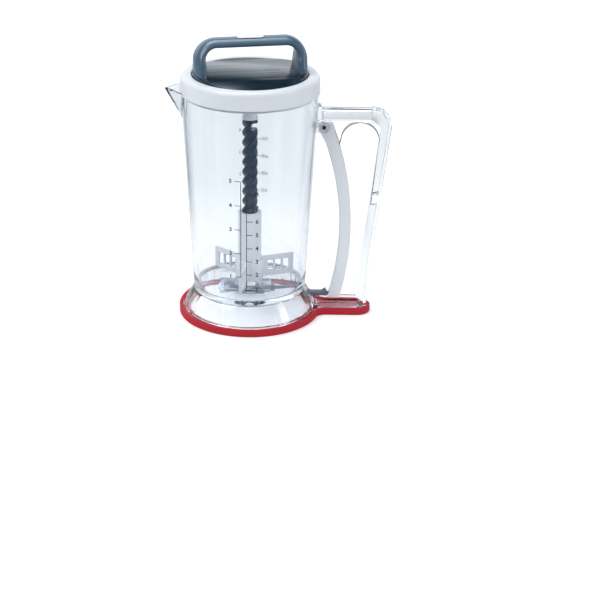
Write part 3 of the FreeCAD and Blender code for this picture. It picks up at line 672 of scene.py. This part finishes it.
spiral_length = SPIRAL_HIGH_Z - SPIRAL_LOW_Z - 2 * SPIRAL_END_CUT
spiral_steps = round(spiral_length / SPIRAL_STEP)
spiral_heights = [SPIRAL_LOW_Z + SPIRAL_END_CUT + spiral_length * i / spiral_steps
                  for i in range(spiral_steps + 1)]
spiral_rows = [plain_ring(ROD_BORE_R, SPIRAL_LOW_Z), spiral_ring(SPIRAL_LOW_Z, SPIRAL_END_SCALE)]
spiral_rows += [spiral_ring(z) for z in spiral_heights]
spiral_rows += [spiral_ring(SPIRAL_HIGH_Z, SPIRAL_END_SCALE), plain_ring(NECK_R, SPIRAL_HIGH_Z)]
spiral_rows += [plain_ring(NECK_R, NECK_HIGH_Z), plain_ring(ROD_BORE_R, NECK_HIGH_Z)]
spiral = piece_from_grid("spiral_moulding", spiral_rows)
notch_ring = [(NOTCH_X, -NOTCH_HALF), (NOTCH_X + NOTCH_REACH, -NOTCH_HALF),
              (NOTCH_X + NOTCH_REACH, NOTCH_HALF), (NOTCH_X, NOTCH_HALF)]
notch_rows = [[(x, y, z) for x, y in notch_ring] for z in (NOTCH_LOW_Z, NOTCH_HIGH_Z)]
notch = piece_from_grid("notch_cutter", notch_rows, closed_rows=False)
capped(notch, len(notch_ring))
carved(spiral, notch)
shaded(spiral, 38)
# The spiral's plastic is a much darker copy of the slate plastic of the gate plate and valve rod:
# painted shade on the rod inside the jug.
spiral_plastic_painted_shade = moulded_material("spiral_plastic_painted_shade", (0.004, 0.017, 0.042), 0.30, 0.12, 2600.0, 0.06,
                                  Specular_IOR_Level=0.8, Specular_Tint=(0.78, 0.90, 1.0, 1))
fitted(spiral, "lid", "slate_plastic", spiral_plastic_painted_shade, "spiral_rod")


# Plunger plate
# A dark slate moulding that lies in the lid's recess. A raised, faintly crowned band
# runs across it between two sloping crescents.
# The plate's plastic is the slate plastic made darker than the strap's: painted shade on the plate
# under the bail and lid.
shaded_plate_plastic = moulded_material("plate_plastic_painted_shade", (0.001, 0.010, 0.023), 0.20, 0.12, 2600.0, 0.06,
                                 Specular_IOR_Level=0.55, Specular_Tint=(0.78, 0.90, 1.0, 1))
finished_copy("plunger_plate", 0.35, shaded_plate_plastic, sharp_degrees=14)


# Bail handle
# A broad moulded strap on the plate, crowned on its outside and flat inside, wide at
# its two feet and narrow across the top. It is turned a little against the jug's front.
BAIL_TURN = 12.0
BAIL_HALF_SPAN = 43.3
BAIL_LEG = 8.0
BAIL_BAR = 6.0
BAIL_CORNER_R = 17.0
BAIL_TOP_HALF_WIDTH = 8.4
BAIL_BASE_HALF_WIDTH = 17.0
BAIL_CROWN = 3.8
BAIL_CROWN_POWER = 3.2
BAIL_FLARE_POWER = 1.3
BAIL_ROUND = 1.6
BAIL_REACH = 44.0
BAIL_SINK = 0.4
BAIL_LEG_STEPS = 10
BAIL_CORNER_STEPS = 22
BAIL_TOP_STEPS = 26
BAIL_CROWN_STEPS = 24

bail_low, bail_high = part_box("bail")
bail_base_z = bail_low.z / MM
bail_top_z = bail_high.z / MM


def bail_stations():
    """Outer points of the strap with the way inwards and how far it has turned to the top."""
    low = bail_base_z - BAIL_SINK
    knee = bail_top_z - BAIL_CORNER_R
    stations = []
    for step in range(BAIL_LEG_STEPS):
        stations.append((-BAIL_HALF_SPAN, low + (knee - low) * step / BAIL_LEG_STEPS, 0.0))
    centre = BAIL_HALF_SPAN - BAIL_CORNER_R
    for step in range(BAIL_CORNER_STEPS):
        t = math.pi / 2 * step / BAIL_CORNER_STEPS
        stations.append((-centre - BAIL_CORNER_R * math.cos(t), knee + BAIL_CORNER_R * math.sin(t), t))
    half = BAIL_TOP_STEPS // 2
    for step in range(half):
        stations.append((-centre + centre * step / half, bail_top_z, math.pi / 2))
    mirror = [(-x, z, math.pi - t) for x, z, t in reversed(stations)]
    return stations + [(0.0, bail_top_z, math.pi / 2)] + mirror


def bail_section(x, z, t):
    """One ring of the strap: a crowned outside, rounded corners and a flat inside."""
    rise = math.sin(t)
    thick = BAIL_LEG + (BAIL_BAR - BAIL_LEG) * rise
    share = min(max((z - bail_base_z) / (bail_top_z - bail_base_z), 0), 1)
    flare = (BAIL_BASE_HALF_WIDTH - BAIL_TOP_HALF_WIDTH) * (1 - share) ** BAIL_FLARE_POWER
    half = BAIL_TOP_HALF_WIDTH + flare
    profile = []
    for step in range(BAIL_CROWN_STEPS + 1):
        y = half * math.sin(math.pi * (step / BAIL_CROWN_STEPS - 0.5))
        profile.append((BAIL_CROWN * abs(y / half) ** BAIL_CROWN_POWER, y))
    for side in (1, -1):
        corner = [(thick - BAIL_ROUND, half), (thick - 0.35 * BAIL_ROUND, half - 0.3 * BAIL_ROUND),
                  (thick, half - BAIL_ROUND)]
        profile += [(d, side * y) for d, y in (corner if side > 0 else reversed(corner))]
    inwards_x, inwards_z = math.cos(t), -math.sin(t)
    ring = []
    turn = math.radians(BAIL_TURN)
    for depth, y in profile:
        px = x + inwards_x * depth
        pz = z + inwards_z * depth
        reach = math.hypot(px, y)
        if reach > BAIL_REACH:
            px *= BAIL_REACH / reach
            y *= BAIL_REACH / reach
        ring.append((px * math.cos(turn) - y * math.sin(turn),
                     px * math.sin(turn) + y * math.cos(turn), pz))
    return ring


bail_rows = [bail_section(*station) for station in bail_stations()]
bail = piece_from_grid("bail_moulding", bail_rows, closed_rows=False)
capped(bail, len(bail_rows[0]))
shaded(bail, 50)
# The strap's plastic is the slate plastic made lighter than the plate's: painted light on the strap's
# broad top.
strap_plastic_painted_light = moulded_material("strap_plastic_painted_light", (0.056, 0.108, 0.158), 0.32, 0.12, 2600.0, 0.06,
                                 Specular_IOR_Level=0.9, Specular_Tint=(0.85, 0.94, 1.0, 1))
fitted(bail, "plunger", "slate_plastic", strap_plastic_painted_light, "bail")


# Badge place
# A bare silvered plastic pill, pressed into the top of the bail. A thin seat shows
# around it, painted near black as the shade in the recess round the pill.
BADGE_SEAT_LENGTH = 22.0
BADGE_SEAT_WIDTH = 8.3
BADGE_SEAT_DEPTH = 1.6
BADGE_STANDS_OUT = 0.12


def pill_rings(length, width, z_low, z_high, steps=24):
    """Outline of a flat pill across the turned bail, at two heights."""
    turn = math.radians(BAIL_TURN)
    half = (length - width) / 2
    outline = []
    for side in (1, -1):
        for step in range(steps + 1):
            t = math.pi * step / steps - math.pi / 2
            outline.append((side * (half + width / 2 * math.cos(t)), side * width / 2 * math.sin(t)))
    spun = [(x * math.cos(turn) - y * math.sin(turn), x * math.sin(turn) + y * math.cos(turn))
            for x, y in outline]
    return [[(x, y, z) for x, y in spun] for z in (z_low, z_high)]


seat_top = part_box("badge")[1].z / MM - BADGE_STANDS_OUT
seat_rows = pill_rings(BADGE_SEAT_LENGTH, BADGE_SEAT_WIDTH, seat_top - BADGE_SEAT_DEPTH, seat_top)
badge_seat = piece_from_grid("badge_seat", seat_rows, closed_rows=False)
capped(badge_seat, len(seat_rows[0]))
shaded(badge_seat, 30)
# The seat is a near-black copy of the slate plastic: painted shade in the recess round the badge.
seat_painted_shade = moulded_material("seat_painted_shade", (0.012, 0.016, 0.022), 0.45, 0.1, 2600.0, 0.1)
fitted(badge_seat, "plunger", "slate_plastic", seat_painted_shade)
silver_plate = moulded_material("silver_plate", (0.86, 0.87, 0.89), 0.25, 0.04, 1500.0, 0.03,
                                Metallic=0.55)
finished_copy("badge", 0.12, silver_plate)


# Stem and clip
# A drawn steel rod from the plate down through the spiral rod, with a shoulder and a
# spring clip that hold the mixing hub.
drawn_steel = moulded_material("drawn_steel", (0.62, 0.63, 0.65), 0.24, 0.1, 1200.0, 0.05,
                               Metallic=1.0)
finished_copy("stem", 0.15, drawn_steel, flat_degrees=0.1)
finished_copy("stem_clip", 0.15, drawn_steel)


# Mixing head
# A white hub with four teeth in the spiral's grooves, and three slotted paddles that
# sweep over the jug's floor.
mixer_plastic = moulded_material("mixer_plastic", (0.74, 0.76, 0.79), 0.36, 0.05, 2200.0, 0.06)
finished_copy("mixing_hub", 0.25, mixer_plastic)
finished_copy("spiral_nut", 0.15, mixer_plastic)
finished_copy("mixing_paddle", 0.3, mixer_plastic)


# Printed scales
# Thin dark print on the outside of the wall: two ladders with plain numbers in front,
# and two short grey columns at the back, which are read from behind.
PRINT_LIFT = 0.03
PRINT_DEPTH = 0.05
TICK_THICK = 0.52
TICK_LENGTH = 4.6
DIGIT_HEIGHT = 3.3
DIGIT_GAP = 3.4
DIGIT_WEIGHT = 0.11
CAPITAL_SHARE = 0.72
FRONT = 1
BACK = -1


def ladder_tree():
    """Ticks of a scale, in the XY plane: count bars at an even spacing up the Y axis."""
    tree = bpy.data.node_groups.new("scale_ladder", "GeometryNodeTree")
    face = tree.interface
    for name, kind, value in (("Count", "NodeSocketInt", 5), ("Spacing", "NodeSocketFloat", 0.02),
                              ("Length", "NodeSocketFloat", 0.0046),
                              ("Thickness", "NodeSocketFloat", 0.0004),
                              ("Depth", "NodeSocketFloat", 0.00005),
                              ("Ink", "NodeSocketMaterial", None)):
        socket = face.new_socket(name, in_out="INPUT", socket_type=kind)
        if value is not None:
            socket.default_value = value
    face.new_socket("Geometry", in_out="OUTPUT", socket_type="NodeSocketGeometry")
    put_in = new_node(tree, "NodeGroupInput")
    put_out = new_node(tree, "NodeGroupOutput")
    points = new_node(tree, "GeometryNodeMeshLine")
    step = new_node(tree, "ShaderNodeCombineXYZ")
    size = new_node(tree, "ShaderNodeCombineXYZ")
    bar = new_node(tree, "GeometryNodeMeshCube")
    spread = new_node(tree, "GeometryNodeInstanceOnPoints")
    real = new_node(tree, "GeometryNodeRealizeInstances")
    paint = new_node(tree, "GeometryNodeSetMaterial")
    link = tree.links.new
    link(put_in.outputs["Count"], points.inputs["Count"])
    link(put_in.outputs["Spacing"], step.inputs["Y"])
    link(step.outputs[0], points.inputs["Offset"])
    link(put_in.outputs["Length"], size.inputs["X"])
    link(put_in.outputs["Thickness"], size.inputs["Y"])
    link(put_in.outputs["Depth"], size.inputs["Z"])
    link(size.outputs[0], bar.inputs["Size"])
    link(points.outputs[0], spread.inputs["Points"])
    link(bar.outputs[0], spread.inputs["Instance"])
    link(spread.outputs[0], real.inputs[0])
    link(real.outputs[0], paint.inputs["Geometry"])
    link(put_in.outputs["Ink"], paint.inputs["Material"])
    link(paint.outputs[0], put_out.inputs["Geometry"])
    return tree


ladder = ladder_tree()


def plain_mesh(piece):
    """The mesh of an object as it is drawn. The object is removed."""
    mesh = evaluated_mesh(piece)
    bpy.data.objects.remove(piece)
    return mesh


def ladder_mesh(count, spacing, length, ink):
    """Flat ticks from the ladder's nodes."""
    carrier = bpy.data.objects.new("ladder", bpy.data.meshes.new("ladder"))
    bpy.context.scene.collection.objects.link(carrier)
    modifier = carrier.modifiers.new("ladder", "NODES")
    modifier.node_group = ladder
    values = {"Count": count, "Spacing": spacing * MM, "Length": length * MM,
              "Thickness": TICK_THICK * MM, "Depth": PRINT_DEPTH * MM, "Ink": ink}
    for item in ladder.interface.items_tree:
        if item.name in values and item.in_out == "INPUT":
            modifier[item.identifier] = values[item.name]
    return plain_mesh(carrier)


def number_mesh(text, height, weight=0.0):
    """A flat number, made bolder by the weight."""
    curve = bpy.data.curves.new("number", "FONT")
    curve.body = text
    curve.size = height * MM / CAPITAL_SHARE
    curve.align_x = "CENTER"
    curve.align_y = "CENTER"
    curve.offset = weight * MM
    curve.extrude = PRINT_DEPTH * MM / 2
    curve.resolution_u = 4
    carrier = bpy.data.objects.new("number", curve)
    bpy.context.scene.collection.objects.link(carrier)
    return plain_mesh(carrier)


def print_scale(name, parts, side, ink):
    """Wrap flat print, given as (mesh, across, height), round the jug's wall."""
    bm = bmesh.new()
    for mesh, across, height in parts:
        old = len(bm.verts)
        bm.from_mesh(mesh)
        bm.verts.ensure_lookup_table()
        for vert in bm.verts[old:]:
            z = vert.co.y / MM + height
            u = vert.co.x / MM + across
            radius = wall_r(z) + PRINT_LIFT + PRINT_DEPTH / 2 + vert.co.z / MM
            turn = u / wall_r(z)
            x = side * radius * math.sin(turn)
            vert.co = Vector((x, -side * radius * math.cos(turn), z)) * MM
        bpy.data.meshes.remove(mesh)
    mesh = bpy.data.meshes.new(name)
    bm.to_mesh(mesh)
    bm.free()
    piece = bpy.data.objects.new(name, mesh)
    bpy.context.scene.collection.objects.link(piece)
    fitted(piece, "jug", "clear_plastic", ink)


def scale_parts(low, spacing, count, line, reach, ink, first_gap=0.0):
    """A ladder with its upright, ticks to one side and a number by each tick."""
    parts = []
    ticks = ladder_mesh(count - 1, spacing, TICK_LENGTH, ink)
    parts.append((ticks, line + reach * TICK_LENGTH / 2, low + first_gap + spacing))
    parts.append((ladder_mesh(1, spacing, TICK_LENGTH, ink), line + reach * TICK_LENGTH / 2, low))
    top = low + first_gap + spacing * (count - 1)
    upright = ladder_mesh(1, spacing, TICK_THICK, ink)
    for vert in upright.vertices:
        vert.co.y *= (top - low + TICK_THICK) / TICK_THICK
    parts.append((upright, line, (low + top) / 2))
    for index in range(count):
        z = low + (first_gap + spacing * index if index else 0)
        number = number_mesh(str(index + 1), DIGIT_HEIGHT, DIGIT_WEIGHT)
        parts.append((number, line + reach * (TICK_LENGTH + DIGIT_GAP), z))
    return parts


scale_ink = moulded_material("scale_ink", (0.012, 0.011, 0.011), 0.5, 0.1, 4000.0, 0.05)
back_ink = moulded_material("back_ink", (0.20, 0.21, 0.23), 0.5, 0.1, 4000.0, 0.05)
left_scale = scale_parts(low=46.2, spacing=19.9, count=5, line=-5.4, reach=-1, ink=scale_ink)
print_scale("front_scale_left", left_scale, FRONT, scale_ink)
right_scale = scale_parts(low=35.0, spacing=11.2, count=8, line=-1.0, reach=1, ink=scale_ink,
                          first_gap=2.0)
print_scale("front_scale_right", right_scale, FRONT, scale_ink)

BACK_DIGIT_HEIGHT = 2.9
BACK_TICK_LENGTH = 2.6
# Labels, height of the lowest, spacing, place of the numbers and place of the ticks.
BACK_COLUMNS = ((("400", "500", "600", "700"), 84.5, 14.3, -10.6, -5.4),
                (("2", "3", "4"), 97.9, 18.2, 9.6, 5.6))
back_parts = []
for labels, low_z, spacing, number_at, tick_at in BACK_COLUMNS:
    for index, label in enumerate(labels):
        number = number_mesh(label, BACK_DIGIT_HEIGHT)
        back_parts.append((number, number_at, low_z + spacing * index))
    ticks = ladder_mesh(len(labels), spacing, BACK_TICK_LENGTH, back_ink)
    back_parts.append((ticks, tick_at, low_z))
print_scale("back_scale", back_parts, BACK, back_ink)


# Floor
# A pale seamless table that glows a little to the eye and, near the jug, through clear
# plastic. Farther out, gloss and clear plastic see white and grey cards on it, as in a
# studio, so that clear edges show.
FLOOR_HALF = 6.0
FLOOR_COLOR = (0.88, 0.88, 0.885, 1)
EYE_GLOW = 0.35
NEAR_GLOW = 0.24
CARDS_FROM = 0.12
CARDS_FULL = 0.35
CARD_TINT = (1.25, 1.1, 1.0)
floor_mesh = bpy.data.meshes.new("floor")
floor_corners = [(-FLOOR_HALF, -FLOOR_HALF, 0), (FLOOR_HALF, -FLOOR_HALF, 0),
                 (FLOOR_HALF, FLOOR_HALF, 0), (-FLOOR_HALF, FLOOR_HALF, 0)]
floor_mesh.from_pydata(floor_corners, [], [(0, 1, 2, 3)])
floor = bpy.data.objects.new("floor", floor_mesh)
bpy.context.scene.collection.objects.link(floor)
floor_paint = bpy.data.materials.new("floor_paint")
floor_paint.use_nodes = True
paint_tree = floor_paint.node_tree
paint_shader = paint_tree.nodes["Principled BSDF"]
paint_shader.inputs["Roughness"].default_value = 0.9
paint_shader.inputs["Specular IOR Level"].default_value = 0.1
paint_shader.inputs["Emission Color"].default_value = (1, 1, 1, 1)
paint_link = paint_tree.links.new
paint_place = new_node(paint_tree, "ShaderNodeTexCoord")
paint_split = new_node(paint_tree, "ShaderNodeSeparateXYZ")
paint_link(paint_place.outputs["Object"], paint_split.inputs[0])
paint_path = new_node(paint_tree, "ShaderNodeLightPath")


def paint_math(operation, *values):
    """A sum on sockets and numbers in the floor's material."""
    node = new_node(paint_tree, "ShaderNodeMath", operation=operation)
    for place, value in enumerate(values):
        if isinstance(value, float):
            node.inputs[place].default_value = value
        else:
            paint_link(value, node.inputs[place])
    return node.outputs[0]


# Bearing from straight behind the jug: 0 behind, 1 in front, by way of either side.
bearing = paint_math("ARCTAN2", paint_split.outputs["X"], paint_split.outputs["Y"])
bearing = paint_math("DIVIDE", paint_math("ABSOLUTE", bearing), math.pi)
paint_cards = new_node(paint_tree, "ShaderNodeValToRGB")
paint_cards.color_ramp.interpolation = "EASE"
card_stops = ((0.0, 1.0), (0.12, 1.0), (0.22, 0.45), (0.34, 0.35), (0.40, 0.85), (0.50, 0.85),
              (0.56, 0.30), (0.66, 0.35), (0.72, 0.75), (0.80, 0.30), (1.0, 0.22))
while len(paint_cards.color_ramp.elements) < len(card_stops):
    paint_cards.color_ramp.elements.new(0.5)
for stop, (place, level) in zip(paint_cards.color_ramp.elements, card_stops):
    stop.position = place
    stop.color = (*[level ** power for power in CARD_TINT], 1)
paint_link(bearing, paint_cards.inputs["Fac"])
away = new_node(paint_tree, "ShaderNodeVectorMath", operation="LENGTH")
paint_link(paint_place.outputs["Object"], away.inputs[0])
paint_ramp = new_node(paint_tree, "ShaderNodeMapRange", interpolation_type="SMOOTHSTEP")
paint_ramp.inputs["From Min"].default_value = CARDS_FROM
paint_ramp.inputs["From Max"].default_value = CARDS_FULL
paint_link(away.outputs["Value"], paint_ramp.inputs["Value"])
in_gloss = paint_math("MAXIMUM", paint_path.outputs["Is Glossy Ray"],
                      paint_path.outputs["Is Transmission Ray"])
in_gloss = paint_math("MULTIPLY", in_gloss,
                      paint_math("LESS_THAN", paint_path.outputs["Diffuse Depth"], 0.5))
paint_mix = new_node(paint_tree, "ShaderNodeMix", data_type="RGBA")
paint_mix.inputs["A"].default_value = FLOOR_COLOR
paint_link(paint_math("MULTIPLY", in_gloss, paint_ramp.outputs[0]), paint_mix.inputs["Factor"])
paint_link(paint_cards.outputs["Color"], paint_mix.inputs["B"])
paint_link(paint_mix.outputs["Result"], paint_shader.inputs["Base Color"])
eye_glow = paint_math("MULTIPLY", paint_path.outputs["Is Camera Ray"], EYE_GLOW)
near = paint_math("SUBTRACT", 1.0, paint_ramp.outputs[0])
clear_glow = paint_math("MULTIPLY", near, NEAR_GLOW)
clear_glow = paint_math("MULTIPLY", clear_glow, paint_path.outputs["Is Transmission Ray"])
paint_link(paint_math("ADD", eye_glow, clear_glow), paint_shader.inputs["Emission Strength"])
floor_mesh.materials.append(floor_paint)


# Light
# A soft key lamp at the upper left in front, a fill at the right, a lamp overhead and a
# faint blue one behind. The surround is white to the eye. Gloss and clear plastic see a
# bright low sweep behind the jug, a bright ceiling, and near darkness elsewhere.
SWEEP_LEVEL = 0.75
HORIZON_LEVEL = 0.5
CEILING_LEVEL = 5.0
DARK_LEVEL = 0.10
PLAIN_LEVEL = 0.50


def soft_lamp(name, place, aim, size, power, color=(1, 1, 1)):
    """A rectangular lamp at a place, turned to where it aims."""
    lamp = bpy.data.lights.new(name, "AREA")
    lamp.shape = "RECTANGLE"
    lamp.size = size[0]
    lamp.size_y = size[1]
    lamp.energy = power
    lamp.color = color
    holder = bpy.data.objects.new(name, lamp)
    bpy.context.scene.collection.objects.link(holder)
    holder.location = place
    holder.rotation_euler = (Vector(aim) - Vector(place)).to_track_quat("-Z", "Y").to_euler()


soft_lamp("key", (-1.0, -0.7, 1.35), (0, 0, 0.1), (0.8, 0.9), 10.8)
soft_lamp("overhead", (-0.28, 0.36, 1.5), (-0.05, 0, 0.1), (1.2, 0.55), 7.5)
soft_lamp("back", (-0.45, 1.45, 0.95), (0, 0, 0.2), (1.2, 0.9), 1.6, (0.80, 0.91, 1.0))
soft_lamp("fill", (1.3, -0.5, 0.6), (0, 0, 0.1), (0.35, 1.1), 5.2, (0.95, 0.97, 1.0))

world = bpy.data.worlds.new("surround")
bpy.context.scene.world = world
world.use_nodes = True
sky_tree = world.node_tree
sky = sky_tree.nodes["Background"]
sky.inputs["Color"].default_value = (0.90, 0.95, 1.0, 1)
sky_link = sky_tree.links.new
sky_path = new_node(sky_tree, "ShaderNodeLightPath")
sky_place = new_node(sky_tree, "ShaderNodeTexCoord")
sky_split = new_node(sky_tree, "ShaderNodeSeparateXYZ")
sky_link(sky_place.outputs["Generated"], sky_split.inputs[0])


def sky_ramp(axis, start, stop, low, high):
    """A smooth change along one axis of the looking direction."""
    ramp = new_node(sky_tree, "ShaderNodeMapRange", interpolation_type="SMOOTHSTEP")
    for name, value in (("From Min", start), ("From Max", stop), ("To Min", low), ("To Max", high)):
        ramp.inputs[name].default_value = value
    sky_link(sky_split.outputs[axis], ramp.inputs["Value"])
    return ramp.outputs[0]


def sky_math(operation, first, second):
    """A sum on sockets and numbers in the surround."""
    node = new_node(sky_tree, "ShaderNodeMath", operation=operation)
    for slot, value in enumerate((first, second)):
        if isinstance(value, float):
            node.inputs[slot].default_value = value
        else:
            sky_link(value, node.inputs[slot])
    return node.outputs[0]


sweep = sky_math("MULTIPLY", sky_ramp("Y", 0.1, 0.5, 0.0, 1.0), sky_ramp("Z", 0.44, 0.64, 1.0, 0.0))
horizon = sky_math("MULTIPLY", sky_ramp("Y", 0.3, 0.6, 0.0, 1.0),
                   sky_ramp("Z", 0.16, 0.30, HORIZON_LEVEL, 0.0))
ceiling = sky_math("MULTIPLY", sky_ramp("Z", 0.84, 0.92, 0.0, CEILING_LEVEL),
                   sky_ramp("Y", -0.3, 0.0, 0.0, 1.0))
ceiling = sky_math("MULTIPLY", ceiling, sky_ramp("X", -0.3, 0.4, 1.0, 0.4))
reflected = sky_math("MULTIPLY", sweep, SWEEP_LEVEL)
reflected = sky_math("ADD", reflected, sky_math("ADD", horizon, ceiling))
reflected = sky_math("ADD", reflected, DARK_LEVEL)
bent = sky_math("MAXIMUM", sky_path.outputs["Is Glossy Ray"], sky_path.outputs["Is Transmission Ray"])
bent = sky_math("MULTIPLY", bent, sky_math("LESS_THAN", sky_path.outputs["Diffuse Depth"], 0.5))
plain = sky_math("MULTIPLY", sky_math("SUBTRACT", 1.0, bent), PLAIN_LEVEL)
to_bent = sky_math("MULTIPLY", bent, reflected)
to_eye = sky_math("MULTIPLY", sky_path.outputs["Is Camera Ray"], 1.0 - PLAIN_LEVEL)
sky_link(sky_math("ADD", sky_math("ADD", plain, to_bent), to_eye), sky.inputs["Strength"])


# Camera
# It looks down at the jug from straight in front, with the handle to the right, and it
# is rolled a little, as the photograph is.
CAMERA_PIXELS = 1746.0
FRAME_PIXELS = 600.0
SENSOR = 36.0
CAMERA_DISTANCE = 1401.6
CAMERA_RISE = math.radians(23.74)
CAMERA_ROLL = math.radians(0.84)
CAMERA_AIM = Vector((40.42, 0, 7.97))

towards = Vector((0, -math.cos(CAMERA_RISE), math.sin(CAMERA_RISE)))
level_up = Vector((1, 0, 0)).cross(-towards)
camera_right = math.cos(CAMERA_ROLL) * Vector((1, 0, 0)) + math.sin(CAMERA_ROLL) * level_up
camera_up = -math.sin(CAMERA_ROLL) * Vector((1, 0, 0)) + math.cos(CAMERA_ROLL) * level_up
camera_data = bpy.data.cameras.new("camera")
camera_data.sensor_width = SENSOR
camera_data.lens = SENSOR * CAMERA_PIXELS / FRAME_PIXELS
camera_data.clip_end = 30
camera = bpy.data.objects.new("camera", camera_data)
bpy.context.scene.collection.objects.link(camera)
camera_place = (CAMERA_AIM + towards * CAMERA_DISTANCE) * MM
turn_matrix = Matrix((camera_right, camera_up, towards)).transposed().to_4x4()
camera.matrix_world = Matrix.Translation(camera_place) @ turn_matrix
bpy.context.scene.camera = camera

bpy.context.scene.view_settings.view_transform = "Standard"
